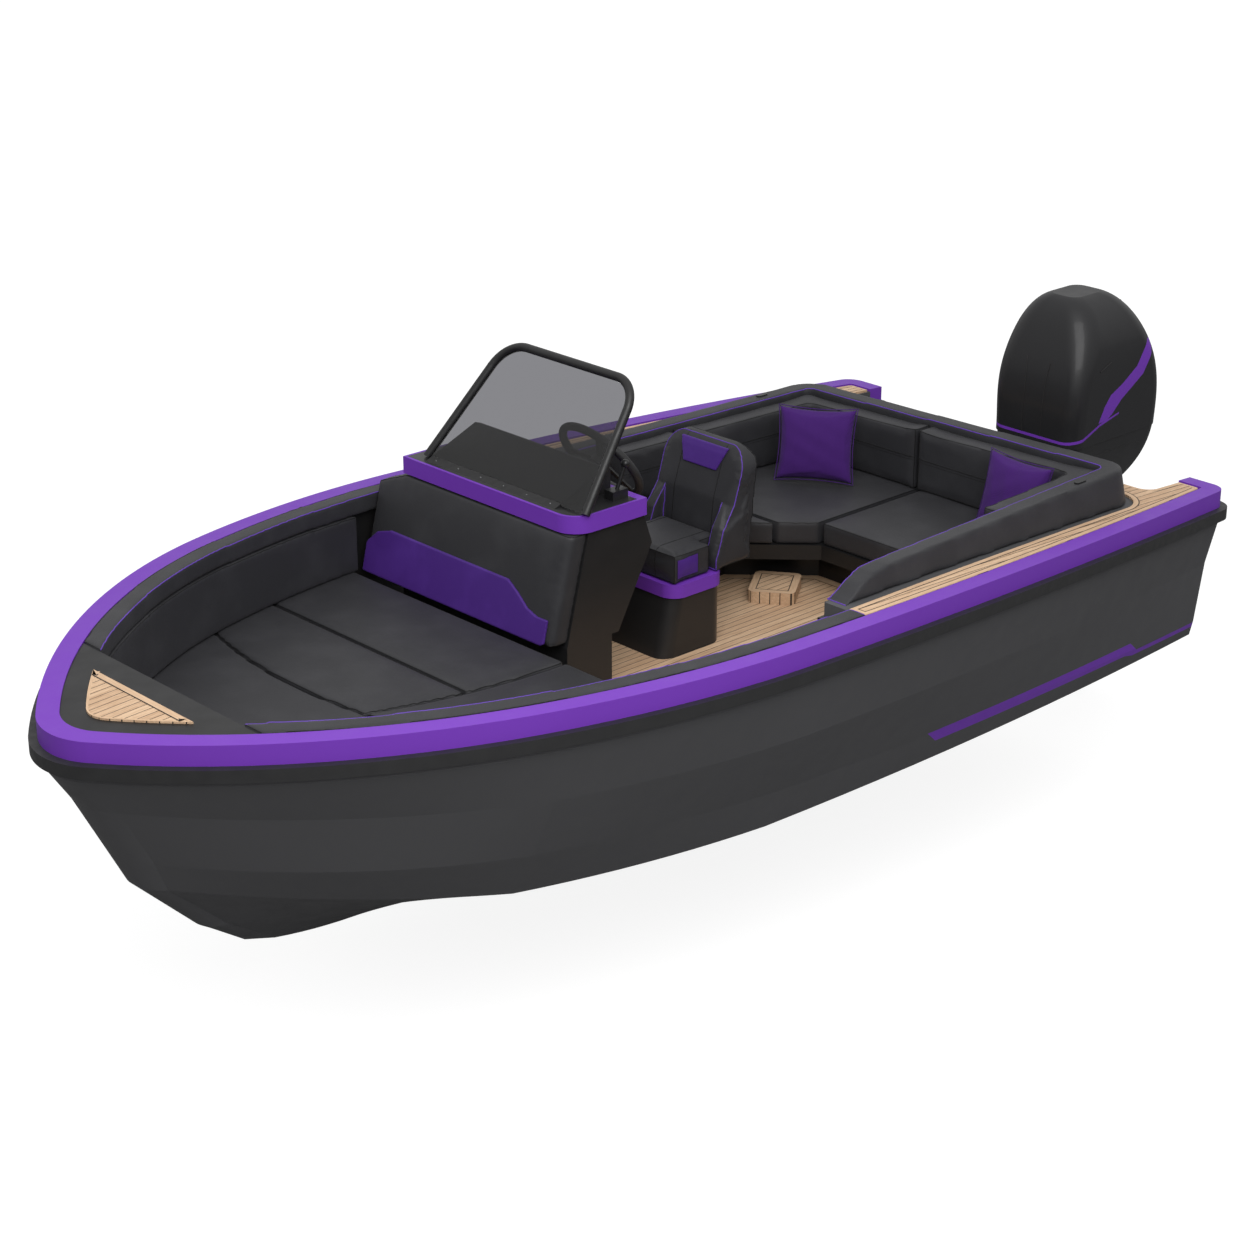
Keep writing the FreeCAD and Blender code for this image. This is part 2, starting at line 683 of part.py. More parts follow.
# Console: body on its plinth, with the upholstered rest that faces the bow
body_top_z = console_top_z + console_band_height
front_lean = (console_waist_front_x - console_top_front_x) / (console_top_z - console_waist_z)
body_front_x = console_top_front_x - console_band_proud
plinth_aft_x = console_waist_aft_x + plinth_inset
body_waist_x = console_waist_front_x - backrest_thick
lower_body = prism_y([(console_top_aft_x, console_top_z), (console_knee_x, console_knee_z),
                      (console_waist_aft_x, console_waist_z), (plinth_aft_x, console_waist_z),
                      (plinth_aft_x, floor_z), (body_waist_x, floor_z), (body_waist_x, console_waist_z),
                      (console_top_front_x - backrest_thick, console_top_z)],
                     console_starboard_y, console_port_y)
upper_body = prism_y([(body_front_x, body_top_z), (console_top_aft_x + plinth_inset, body_top_z),
                      (console_top_aft_x, console_top_z), (body_front_x, console_top_z)],
                     console_starboard_y, console_port_y)


def at_port_front(point):
    near_front = point.x > console_top_front_x - 2 * console_band_proud
    return near_front and point.y > console_port_y - console_band_proud


upper_corner = console_corner - console_band_proud
upper_body = upper_body.makeFillet(upper_corner, upright_edges(upper_body, at_port_front))
body = lower_body.fuse(upper_body).removeSplitter()
save("console_body", body)
rest_low_z = cushion_top + joint_gap
rest_low_x = console_waist_front_x - front_lean * (rest_low_z - console_waist_z)
rest_side = [(rest_low_x, rest_low_z), (console_top_front_x, console_top_z - joint_gap),
             (console_top_front_x - backrest_thick + joint_gap, console_top_z - joint_gap),
             (rest_low_x - backrest_thick + joint_gap, rest_low_z)]
rest = prism_y(rest_side, -far, console_port_y)
rest = rest.makeFillet(backrest_corner, upright_edges(rest, at_port_front))
rest = rest.common(plan_prism(coaming_pad_inset + joint_gap, 0, far))
rest_top = prism_x([(-far, 0), (far, 0), (far, console_top_z), (console_starboard_y, console_top_z),
                    (coaming_pad_inset - half_beam, console_top_z - rest_drop),
                    (-far, console_top_z - rest_drop)], 0, far)
save("console_backrest", rest.common(rest_top))
insert_face = prism_y([(x + insert_thick, z) for x, z in rest_side], -far, far).common(
    prism_y([(rest_low_x + joint_gap, rest_low_z), (console_top_front_x + joint_gap, console_top_z),
             (far, console_top_z), (far, rest_low_z)], -far, far))
insert_plan = prism_x([(console_port_y + y, z) for y, z in insert_outline], 0, far)
insert_room = plan_prism(coaming_pad_inset + 2 * joint_gap, 0, far)
save("backrest_insert", insert_face.common(insert_plan).common(insert_room))
belt = box(console_top_aft_x - 5, console_top_front_x, console_starboard_y - console_band_proud,
           console_port_y + console_band_proud, console_top_z, body_top_z)
belt = belt.makeFillet(console_corner, upright_edges(belt, at_port_front))
save("console_band", belt.cut(body))

hood = prism_y([(body_front_x - 20, body_top_z), (hood_aft_x, hood_top_z), (hood_aft_x - 35, hood_top_z - 12),
                (console_top_aft_x + 60, body_top_z)], console_starboard_y + hood_inset,
               console_port_y - hood_port_inset)

# Windscreen: a bent tube over the console, with smoked glass in it
lean = math.atan2(screen_base_x - screen_top_x, screen_top_z - screen_base_z)
screen_base_y = (console_starboard_y + screen_base_insets[0], console_port_y - screen_base_insets[1])
screen_top_y = (console_starboard_y + screen_top_insets[0], console_port_y - screen_top_insets[1])


def on_screen(y, up):
    """A point of the windscreen's plane, up from its base along the slope."""
    return V(screen_base_x - up * math.sin(lean), y, screen_base_z + up * math.cos(lean))


def screen_outline(shrink):
    """Base, rounded top corners and base again, as lines and arcs."""
    rise = (screen_top_z - screen_base_z) / math.cos(lean) - shrink
    y0, y1 = screen_base_y[0] + shrink, screen_base_y[1] - shrink
    t0, t1 = screen_top_y[0] + shrink, screen_top_y[1] - shrink
    r = screen_corner - shrink
    edges = []
    ends_up = []
    for base_y, top_y, side in ((y0, t0, 1), (y1, t1, -1)):
        slope = math.hypot(top_y - base_y, rise)
        down = r / slope
        low = on_screen(top_y + (base_y - top_y) * down, rise * (1 - down))
        across = on_screen(top_y + side * r, rise)
        corner = on_screen(top_y, rise)
        mid = (low + across) * 0.5
        mid = mid + (corner - mid) * (math.sqrt(2) - 1)
        edges.append(Part.makeLine(on_screen(base_y, 0), low))
        edges.append(Part.Arc(low, mid, across).toShape())
        ends_up.append(across)
    edges.append(Part.makeLine(*ends_up))
    return edges


frame_path = Part.Wire(Part.__sortEdges__(screen_outline(0)))
path_start = frame_path.OrderedEdges[0]
first = frame_path.OrderedVertexes[0].Point
profile = Part.Wire(Part.makeCircle(screen_tube_r, first, path_start.tangentAt(path_start.FirstParameter)))
tube = frame_path.makePipeShell([profile], True, False)
save("windscreen_frame", tube.cut([body, hood, belt]))
glass_edges = screen_outline(screen_tube_r + joint_gap)
base_line = Part.makeLine(on_screen(screen_base_y[0] + screen_tube_r + joint_gap, 0),
                          on_screen(screen_base_y[1] - screen_tube_r - joint_gap, 0))
pane = Part.Face(Part.Wire(Part.__sortEdges__(glass_edges + [base_line])))
normal = V(math.cos(lean), 0, math.sin(lean))
pane = pane.translated(normal * (-glass_thick / 2)).extrude(normal * glass_thick)
save("windscreen_glass", pane.cut([body, hood, tube, belt]))
save("dash_hood", hood)

# Steering wheel, tilted back on its column
wheel_axis = V(-math.cos(wheel_tilt), 0, math.sin(wheel_tilt))
wheel_at = V(wheel_x, wheel_y, wheel_z)
rim = Part.makeTorus(wheel_radius, wheel_rim_r, wheel_at, wheel_axis)
wheel_hub = Part.makeCylinder(hub_radius, hub_thick, wheel_at - wheel_axis * hub_thick, wheel_axis)
wheel_place = FreeCAD.Placement(wheel_at, FreeCAD.Rotation(V(0, 0, 1), wheel_axis))
spokes = []
for turn in (0, 120, 240):
    spoke = box(-spoke_width / 2, spoke_width / 2, 0, wheel_radius - wheel_rim_r / 2, -spoke_thick, 0)
    spoke.rotate(V(0, 0, 0), V(0, 0, 1), turn + 180)
    spoke.Placement = wheel_place.multiply(spoke.Placement)
    spokes.append(spoke)
save("steering_wheel", rim.fuse([wheel_hub] + spokes))
column_start = wheel_at - wheel_axis * (hub_thick + column_gap)
column = Part.makeCylinder(column_radius, column_length, column_start, wheel_axis * -1)
column = column.cut([body, hood, belt])
column = sorted(column.Solids, key=lambda solid: solid.distToShape(Part.Vertex(column_start))[0])[0]
throttle_at = V(console_top_aft_x + 95, console_port_y - 75, body_top_z)
lever_way = V(-0.35, 0.1, 1).normalize()
lever_foot = throttle_at + V(0, 0, 30)
binnacle = box(-45, 45, -28, 28, 0, 42).translated(throttle_at)
lever = Part.makeCylinder(9, 130, lever_foot, lever_way)
knob = Part.makeSphere(19, lever_foot + lever_way * 130)
save("helm_controls", Part.makeCompound([column, binnacle.fuse([lever, knob])]))

# Helm seat on its box
port_y = helm_y + helm_width / 2
starboard_y = helm_y - helm_width / 2
pedestal = prism_y([(helm_aft_x, floor_z), (helm_front_x, floor_z),
                    (helm_front_x - pedestal_lean, pedestal_top_z), (helm_aft_x, pedestal_top_z)],
                   starboard_y, port_y)
save("helm_pedestal", pedestal.makeFillet(pedestal_corner, upright_edges(pedestal)))
seat_band_top = pedestal_top_z + pedestal_band
seat_nose_x = helm_front_x - pedestal_lean
helm_band = rounded_box(helm_aft_x - band_proud, seat_nose_x + band_proud, starboard_y - band_proud,
                        port_y + band_proud, pedestal_top_z, seat_band_top, pedestal_corner + band_proud)
save("helm_band", helm_band)
cushion_low = seat_band_top + joint_gap
cushion_high = seat_band_top + helm_cushion_thick


def seen_from_side(side):
    """The helm seat's side table, placed in the boat and lifted clear of the band."""
    return [(helm_aft_x + x, z + joint_gap) for x, z in side]


back = prism_y(seen_from_side(helm_back_side), starboard_y, port_y)
wing = prism_y(seen_from_side(helm_wing_side), 0, helm_wing_thick)
wings = [wing.translated(V(0, starboard_y, 0)), wing.translated(V(0, port_y - helm_wing_thick, 0))]
back_top_z = max(z for x, z in helm_back_side) + joint_gap
shoulders = box(-far, far, starboard_y, port_y, 0, back_top_z)
top_edges = [edge for edge in shoulders.Edges if abs(edge.tangentAt(0).x) > 0.8 and edge.CenterOfMass.z > 0]
shoulders = shoulders.makeFillet(helm_shoulder, top_edges)
save("helm_back", back.fuse(wings).removeSplitter().common(shoulders))
nose = box(seat_nose_x - helm_nose_length, seat_nose_x, starboard_y + joint_gap, port_y - joint_gap,
           cushion_low, cushion_high)
inner_y = helm_wing_thick + joint_gap
seat_soft = box(helm_aft_x + helm_back_side[0][0] + joint_gap, seat_nose_x, starboard_y + inner_y,
                port_y - inner_y, cushion_low, cushion_high)
wing_room = [piece.translated(V(joint_gap, 0, 0)) for piece in wings]
save("helm_cushion", seat_soft.fuse(nose).removeSplitter().cut(wing_room))
half_low, half_high = [width / 2 for width in headrest_widths]
rest_low, rest_high = headrest_heights
headrest = prism_x([(helm_y - half_low, rest_low), (helm_y + half_low, rest_low),
                    (helm_y + half_high, rest_high), (helm_y - half_high, rest_high)],
                   helm_aft_x - far, helm_aft_x)
pad_room = back.translated(V(insert_thick, 0, 0)).cut(back.translated(V(joint_gap, 0, 0)))
save("helm_headrest", headrest.common(pad_room))


def pillow(x, y, turn, lean_back):
    """A pillow that stands on the seat, turned about its foot and leaning back."""
    half_thick, half_width = pillow_thick / 2, pillow_width / 2
    p = rounded_box(-half_thick, half_thick, -half_width, half_width, 0, pillow_height, pillow_corner)
    p.rotate(V(0, 0, 0), V(0, 1, 0), -lean_back)
    p.rotate(V(0, 0, 0), V(0, 0, 1), turn)
    p.translate(V(aft_coaming_x + x, y, seat_top + joint_gap - p.BoundBox.ZMin))
    return p


save("pillows", Part.makeCompound([pillow(*place) for place in pillow_places]))

# Flush fittings on the aft coaming's sides
fitting = rounded_box(-35, 35, -14, 14, -10, 5, 12)
fittings = []
for side in (1, -1):
    x = aft_coaming_x + fitting_place[0]
    y = side * (coaming_aft_y - fitting_place[1])
    top = coaming_starboard_top + (y / coaming_aft_y + 1) / 2 * (coaming_port_top - coaming_starboard_top)
    fittings.append(fitting.translated(V(x, y, top)).cut(coaming))
save("deck_fittings", Part.makeCompound(fittings))

# Outboard: clamp bracket on the transom, with the tilt tube
tilt_x = stern_x + tilt_set_in
steer_x = stern_x - steer_set_out
plate_aft_x = stern_x - plate_overhang
ear_x = tilt_x - tilt_tube_r - 4
plate = prism_y([(stern_x + plate_reach, plate_low_z), (stern_x + plate_reach, well_floor_z + plate_foot),
                 (tilt_x + tilt_tube_r * 2, tilt_z + tilt_tube_r * 2), (ear_x, tilt_z + tilt_tube_r * 2),
                 (ear_x, swivel_top_z), (plate_aft_x, swivel_top_z - plate_foot),
                 (plate_aft_x, plate_low_z)], bracket_gap, bracket_gap + bracket_plate)
tube_half = bracket_gap + bracket_plate + 20
tilt_tube = Part.makeCylinder(tilt_tube_r, 2 * tube_half, V(tilt_x, -tube_half, tilt_z), V(0, 1, 0))
save("transom_bracket", plate.fuse([flipped(plate), tilt_tube]).cut(whole.cut(well)))

swivel_half = bracket_gap - swivel_gap
swivel = Part.makeCylinder(swivel_tube_r, swivel_top_z - swivel_low_z, V(steer_x, 0, swivel_low_z))
knuckle = prism_y([(tilt_x + knuckle_r, tilt_z + knuckle_r), (tilt_x - knuckle_r, tilt_z + knuckle_r),
                   (steer_x + yoke_room, swivel_top_z + 45), (steer_x + yoke_room, swivel_top_z),
                   (steer_x, swivel_top_z),
                   (steer_x, knuckle_low_z), (steer_x + 80, knuckle_low_z),
                   (tilt_x + knuckle_r, tilt_z - knuckle_r)], -swivel_half, swivel_half)
steer_bore = Part.makeCylinder(steer_shaft_r + bore_gap, far, V(steer_x, 0, -far / 2))
tilt_bore = Part.makeCylinder(tilt_tube_r + bore_gap, far, V(tilt_x, -far / 2, tilt_z), V(0, 1, 0))
save("swivel_bracket", swivel.fuse(knuckle).cut([steer_bore, tilt_bore]))


def rounded_section(z, front, aft, half_width, corner):
    """A level rounded rectangle as a wire of four lines and four arcs."""
    bend = corner * (1 - math.sqrt(0.5))
    turns = []
    corners = [(front, half_width, -1, -1), (aft, half_width, 1, -1), (aft, -half_width, 1, 1),
               (front, -half_width, -1, 1)]
    for i, (x, y, sx, sy) in enumerate(corners):
        toward_y = V(x, y + sy * corner, z)
        toward_x = V(x + sx * corner, y, z)
        mid = V(x + sx * bend, y + sy * bend, z)
        turns.append((toward_y, mid, toward_x) if i % 2 == 0 else (toward_x, mid, toward_y))
    wire = []
    for i, turn in enumerate(turns):
        wire.append(Part.Arc(*turn).toShape())
        wire.append(Part.makeLine(turn[2], turns[(i + 1) % 4][0]))
    return Part.Wire(wire)


def section_loft(table, shrink=0):
    """Level sections of the motor, each at its height with places aft of the steering axis."""
    wires = [rounded_section(z, steer_x - front - shrink, steer_x - aft + shrink, half_width - shrink,
                             corner - shrink) for z, front, aft, half_width, corner in table]
    return Part.makeLoft(wires, True, False)


cowl = section_loft(cowl_sections)
cowl_top_z = cowl_sections[-1][0]
cowl_inside = section_loft(cowl_sections, cowl_wall).common(span(-2 * far, far, z1=cowl_top_z - cowl_wall))
stripe_forms = [prism_y([(steer_x - x, z) for x, z in form], -far, far) for form in (rim_stripe, side_stripe)]
cowl_stripe = cowl.common(stripe_forms[0].fuse(stripe_forms[1]))
cowl_stripe = cowl_stripe.cut(section_loft(cowl_sections, stripe_thick))
save("upper_cowl", cowl.cut([cowl_inside, cowl_stripe]))
save("cowl_stripe", cowl_stripe)
lower_cowl = section_loft(lower_cowl_sections)
save("lower_cowl", lower_cowl)
powerhead_x = steer_x - powerhead_front
save("powerhead", box(powerhead_x - powerhead_length, powerhead_x, -powerhead_half_width,
                      powerhead_half_width, lower_cowl_sections[0][0], powerhead_top_z))

# Leg with its steering shaft and yokes, then the gearcase
leg = section_loft(leg_sections)
shaft = Part.makeCylinder(steer_shaft_r, swivel_top_z - swivel_low_z + 40, V(steer_x, 0, swivel_low_z - 20))
yoke_aft_x = steer_x - leg_sections[1][1] - 20
upper_yoke = box(yoke_aft_x, steer_x + 40, -45, 45, swivel_top_z + 5, swivel_top_z + 45)
lower_yoke = box(yoke_aft_x, steer_x + 40, -40, 40, swivel_low_z - 40, swivel_low_z - 5)
leg = leg.fuse([shaft, upper_yoke, lower_yoke]).cut(lower_cowl)
save("leg", leg)
gearcase_x = steer_x - gearcase_set_out
gearcase_aft_x = gearcase_x - gearcase_length
vent_plate = rounded_box(steer_x - vent_plate_aft, steer_x, -vent_plate_half_width, vent_plate_half_width,
                         leg_foot_z - vent_plate_thick, leg_foot_z, 60)
forward = V(1, 0, 0)
torpedo = Part.makeCylinder(gearcase_radius, gearcase_length, V(gearcase_aft_x, 0, prop_axis_z), forward)
nose = Part.makeCone(gearcase_radius, 14, 110, V(gearcase_x, 0, prop_axis_z), forward)
skeg = prism_y([(gearcase_x - 40, prop_axis_z), (gearcase_aft_x + 20, prop_axis_z),
                (gearcase_aft_x - 10, skeg_bottom_z), (gearcase_aft_x + 60, skeg_bottom_z)], -7, 7)
prop_bore = Part.makeCylinder(prop_shaft_r + bore_gap, 160, V(gearcase_aft_x - 40, 0, prop_axis_z), forward)
lower_unit = section_loft(strut_sections).fuse([vent_plate, torpedo, nose, skeg]).cut([prop_bore, leg])
save("lower_unit", lower_unit)

# Propeller on its shaft
prop_front = gearcase_aft_x - prop_gap
prop_place = V(prop_front, 0, prop_axis_z)
prop_hub = Part.makeCone(prop_hub_r, prop_hub_r - 10, prop_hub_length, prop_place, forward * -1)
prop_shaft = Part.makeCylinder(prop_shaft_r, 100, prop_place - forward * 20, forward)
blades = []
for turn in (0, 120, 240):
    wires = []
    for radius, chord, pitch in blade_sections:
        a, b = chord / 2, blade_thick / 2
        corners = [(-a, -b), (a, -b), (a, b), (-a, b), (-a, -b)]
        section = Part.makePolygon([V(x, y, radius) for x, y in corners])
        section.rotate(V(0, 0, 0), V(0, 0, 1), pitch)
        wires.append(section)
    blade = Part.makeLoft(wires, True, True)
    blade.rotate(V(0, 0, 0), V(1, 0, 0), turn)
    blades.append(blade.translated(V(prop_front - prop_hub_length / 2, 0, prop_axis_z)))
save("propeller", prop_hub.fuse([prop_shaft] + blades))
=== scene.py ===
import json
import math

import bmesh
import bpy
from mathutils import Matrix, Vector
from mathutils.bvhtree import BVHTree


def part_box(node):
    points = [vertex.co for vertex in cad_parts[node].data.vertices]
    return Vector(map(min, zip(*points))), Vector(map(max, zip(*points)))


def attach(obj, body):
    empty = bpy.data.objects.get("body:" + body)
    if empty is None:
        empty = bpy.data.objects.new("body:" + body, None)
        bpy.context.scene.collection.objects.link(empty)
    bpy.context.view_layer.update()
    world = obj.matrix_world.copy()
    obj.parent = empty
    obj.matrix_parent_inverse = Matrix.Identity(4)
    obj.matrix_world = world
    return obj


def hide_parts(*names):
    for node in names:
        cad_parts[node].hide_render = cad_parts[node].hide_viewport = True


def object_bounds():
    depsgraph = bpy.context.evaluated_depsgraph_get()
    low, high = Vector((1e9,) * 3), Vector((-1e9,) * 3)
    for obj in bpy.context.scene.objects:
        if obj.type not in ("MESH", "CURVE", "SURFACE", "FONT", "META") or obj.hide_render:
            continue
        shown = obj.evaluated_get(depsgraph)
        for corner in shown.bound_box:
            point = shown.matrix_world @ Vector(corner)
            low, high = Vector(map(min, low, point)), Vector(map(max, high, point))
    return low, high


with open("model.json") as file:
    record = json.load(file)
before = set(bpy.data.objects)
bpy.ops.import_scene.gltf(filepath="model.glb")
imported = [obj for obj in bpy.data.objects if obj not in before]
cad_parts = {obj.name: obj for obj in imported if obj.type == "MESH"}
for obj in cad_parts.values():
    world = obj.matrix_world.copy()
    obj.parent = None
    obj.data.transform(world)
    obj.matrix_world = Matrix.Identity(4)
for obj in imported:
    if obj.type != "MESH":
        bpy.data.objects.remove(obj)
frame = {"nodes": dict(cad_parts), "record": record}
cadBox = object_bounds()
nodes = frame["nodes"]
mm = 0.001
up = Vector((0, 0, 1))


# Camera, light and floor

view = {
    "position": (7.476, 8.2248, 5.1795),
    "heading": -133.0144,   # degrees round from +X
    "pitch": -22.4346,
    "focal": 77.69,         # mm on a 36 mm wide sensor
}

studio = {
    "skyTop": 0.9,
    "skySide": 0.42,
    "keyPower": 460,
    "keyPlace": (3.0, 4.6, 6.2),
    "keySize": 6.0,
    "floorDrop": 0.02,      # metres below the lowest point
    "floorColour": "#8c8c8c",   # the share of the shadow that the camera sees
    "floorBounce": "#7a7a7a",
    "floorGlow": 0.86,
}


def makeCamera():
    camera = bpy.data.objects.new("camera", bpy.data.cameras.new("camera"))
    bpy.context.scene.collection.objects.link(camera)
    heading, pitch = math.radians(view["heading"]), math.radians(view["pitch"])
    forward = Vector((math.cos(pitch) * math.cos(heading), math.cos(pitch) * math.sin(heading), math.sin(pitch)))
    camera.rotation_euler = forward.to_track_quat("-Z", "Y").to_euler()
    camera.location = view["position"]
    camera.data.sensor_fit = "HORIZONTAL"
    camera.data.sensor_width = 36
    camera.data.lens = view["focal"]
    camera.data.clip_end = 200
    bpy.context.scene.camera = camera
    bpy.context.scene.view_settings.view_transform = "Standard"


# Materials

def toLinear(hexColour):
    hexColour = hexColour.lstrip("#")
    channels = [int(hexColour[i:i + 2], 16) / 255 for i in (0, 2, 4)]
    return [c / 12.92 if c <= 0.04045 else ((c + 0.055) / 1.055) ** 2.4 for c in channels] + [1]


def addNode(tree, kind, inputs=None, **settings):
    node = tree.nodes.new("ShaderNode" + kind)
    for key, value in settings.items():
        setattr(node, key, value)
    for key, value in (inputs or {}).items():
        if isinstance(value, bpy.types.NodeSocket):
            tree.links.new(value, node.inputs[key])
        else:
            node.inputs[key].default_value = value
    return node


def newMaterial(name):
    material = bpy.data.materials.new(name)
    material.use_nodes = True
    tree = material.node_tree
    shader = tree.nodes["Principled BSDF"]
    place = addNode(tree, "TexCoord").outputs["Object"]
    return material, tree, shader, place


def mixColours(tree, factor, first, second):
    mix = addNode(tree, "Mix", data_type="RGBA")
    for index, value in ((0, factor), (6, first), (7, second)):
        if isinstance(value, bpy.types.NodeSocket):
            tree.links.new(value, mix.inputs[index])
        else:
            mix.inputs[index].default_value = value
    return mix.outputs[2]


def math2(tree, operation, first, second):
    return addNode(tree, "Math", {0: first, 1: second}, operation=operation).outputs[0]


def remap(tree, value, low, high, outLow, outHigh):
    settings = {"Value": value, "From Min": low, "From Max": high, "To Min": outLow, "To Max": outHigh}
    return addNode(tree, "MapRange", settings).outputs[0]


def noise(tree, place, scale, detail=3, stretch=None):
    if stretch:
        place = addNode(tree, "VectorMath", {0: place, 1: stretch}, operation="MULTIPLY").outputs[0]
    return addNode(tree, "TexNoise", {"Vector": place, "Scale": scale, "Detail": detail}).outputs["Fac"]


def glossyShell(name, colour, roughness=0.3, variation=0.06, coat=0.1, shine=0.3):
    # sprayed gelcoat or paint: a coat over a faintly uneven body, with dulled patches that break up the highlight
    material, tree, shader, place = newMaterial(name)
    base = toLinear(colour)
    darker = [c * (1 - variation) for c in base[:3]] + [1]
    tree.links.new(mixColours(tree, noise(tree, place, 2.2), darker, base), shader.inputs["Base Color"])
    dull = remap(tree, noise(tree, place, 9, 5), 0.35, 0.7, roughness - 0.04, roughness + 0.06)
    tree.links.new(dull, shader.inputs["Roughness"])
    shader.inputs["Specular IOR Level"].default_value = shine
    shader.inputs["Coat Weight"].default_value = coat
    shader.inputs["Coat Roughness"].default_value = 0.12
    peel = addNode(tree, "Bump", {"Height": noise(tree, place, 220, 2), "Strength": 0.03, "Distance": 0.001})
    tree.links.new(peel.outputs[0], shader.inputs["Normal"])
    return material


def vinyl(name, colour, grain=620, roughness=0.52):
    # marine vinyl: pebbled grain under a millimetre, soft sheen, and slow shifts where hands and seats rub it
    material, tree, shader, place = newMaterial(name)
    base = toLinear(colour)
    worn = [min(1, c * 1.22 + 0.004) for c in base[:3]] + [1]
    rubbed = remap(tree, noise(tree, place, 5, 4), 0.45, 0.75, 0, 1)
    tree.links.new(mixColours(tree, rubbed, base, worn), shader.inputs["Base Color"])
    pebbles = addNode(tree, "TexVoronoi", {"Vector": place, "Scale": grain}, feature="SMOOTH_F1").outputs["Distance"]
    folds = noise(tree, place, 26, 3)
    height = math2(tree, "ADD", pebbles, math2(tree, "MULTIPLY", folds, 1.6))
    bump = addNode(tree, "Bump", {"Height": height, "Strength": 0.28, "Distance": 0.0012})
    tree.links.new(bump.outputs[0], shader.inputs["Normal"])
    tree.links.new(remap(tree, pebbles, 0, 0.6, roughness + 0.08, roughness - 0.05), shader.inputs["Roughness"])
    shader.inputs["Specular IOR Level"].default_value = 0.32
    shader.inputs["Sheen Weight"].default_value = 0.03
    return material


def wovenCloth(name, colour, threads=900):
    # pillow cloth: crossed threads a little over a millimetre apart, matt, with painted shade darkening the colour
    # between the threads
    material, tree, shader, place = newMaterial(name)
    base = toLinear(colour)
    waves = []
    for direction in ("X", "Y", "Z"):
        waves.append(addNode(tree, "TexWave", {"Vector": place, "Scale": threads / 6.3, "Distortion": 0.6},
                             bands_direction=direction).outputs["Fac"])
    weave = math2(tree, "MULTIPLY", math2(tree, "ADD", waves[0], waves[1]), math2(tree, "ADD", waves[2], 0.4))
    # painted shade: where the weave dips between the threads the colour falls to 0.55 of the base
    dark = [c * 0.55 for c in base[:3]] + [1]
    shade = remap(tree, weave, 0, 2.2, 0, 1)
    tree.links.new(mixColours(tree, shade, dark, base), shader.inputs["Base Color"])
    bump = addNode(tree, "Bump", {"Height": weave, "Strength": 0.35, "Distance": 0.0008})
    tree.links.new(bump.outputs[0], shader.inputs["Normal"])
    shader.inputs["Roughness"].default_value = 0.85
    shader.inputs["Specular IOR Level"].default_value = 0.2
    shader.inputs["Sheen Weight"].default_value = 0.05
    return material


def teak(name, pitch=40, caulk=4, alongUv=False, light="#dabb9a", dark="#a78262"):
    # planked teak: pale brushed planks parted by black caulking, each with its own tone and a fine grain along it
    material, tree, shader, place = newMaterial(name)
    if alongUv:
        place = addNode(tree, "TexCoord").outputs["UV"]
    parts = addNode(tree, "SeparateXYZ", {"Vector": place}).outputs
    across = math2(tree, "DIVIDE", parts["Y"], pitch * mm)
    index = math2(tree, "FLOOR", across, 0)
    plankTone = addNode(tree, "TexWhiteNoise", {"W": index}, noise_dimensions="1D").outputs["Value"]
    grain = noise(tree, place, 1, 6, (18, 420, 420))
    streaks = noise(tree, place, 1, 4, (5, 90, 90))
    tone = math2(tree, "ADD", math2(tree, "MULTIPLY", grain, 0.75), math2(tree, "MULTIPLY", streaks, 0.65))
    tone = math2(tree, "ADD", tone, math2(tree, "MULTIPLY", plankTone, 0.22))
    wood = mixColours(tree, remap(tree, tone, 0.45, 1.05, 0, 1), toLinear(dark), toLinear(light))
    if alongUv:
        colour, line = wood, None
    else:
        inPlank = math2(tree, "FRACT", across, 0)
        line = remap(tree, inPlank, caulk / pitch * 0.85, caulk / pitch, 1, 0)
        colour = mixColours(tree, line, wood, toLinear("#141312"))
    tree.links.new(colour, shader.inputs["Base Color"])
    height = grain if line is None else math2(tree, "SUBTRACT", grain, math2(tree, "MULTIPLY", line, 2))
    bump = addNode(tree, "Bump", {"Height": height, "Strength": 0.25, "Distance": 0.0008})
    tree.links.new(bump.outputs[0], shader.inputs["Normal"])
    shader.inputs["Roughness"].default_value = 0.62
    return material


def plainBlack(name, colour, roughness, metallic=0.0, grain=300, depth=0.15):
    # black plastic, rubber or powder coat: fine texture that catches the light as a soft grey edge
    material, tree, shader, place = newMaterial(name)
    base = toLinear(colour)
    dusty = [min(1, c * 1.5 + 0.003) for c in base[:3]] + [1]
    tree.links.new(mixColours(tree, noise(tree, place, 14, 4), base, dusty), shader.inputs["Base Color"])
    bump = addNode(tree, "Bump", {"Height": noise(tree, place, grain, 2), "Strength": depth, "Distance": 0.0006})
    tree.links.new(bump.outputs[0], shader.inputs["Normal"])
    tree.links.new(remap(tree, noise(tree, place, 30, 3), 0.3, 0.7, roughness - 0.06, roughness + 0.08),
                   shader.inputs["Roughness"])
    shader.inputs["Metallic"].default_value = metallic
    return material


def brightMetal(name, colour="#c9cbcd", roughness=0.22):
    # polished stainless: bright, with faint smears
    material, tree, shader, place = newMaterial(name)
    shader.inputs["Base Color"].default_value = toLinear(colour)
    shader.inputs["Metallic"].default_value = 1
    tree.links.new(remap(tree, noise(tree, place, 60, 4), 0.3, 0.7, roughness - 0.08, roughness + 0.12),
                   shader.inputs["Roughness"])
    return material


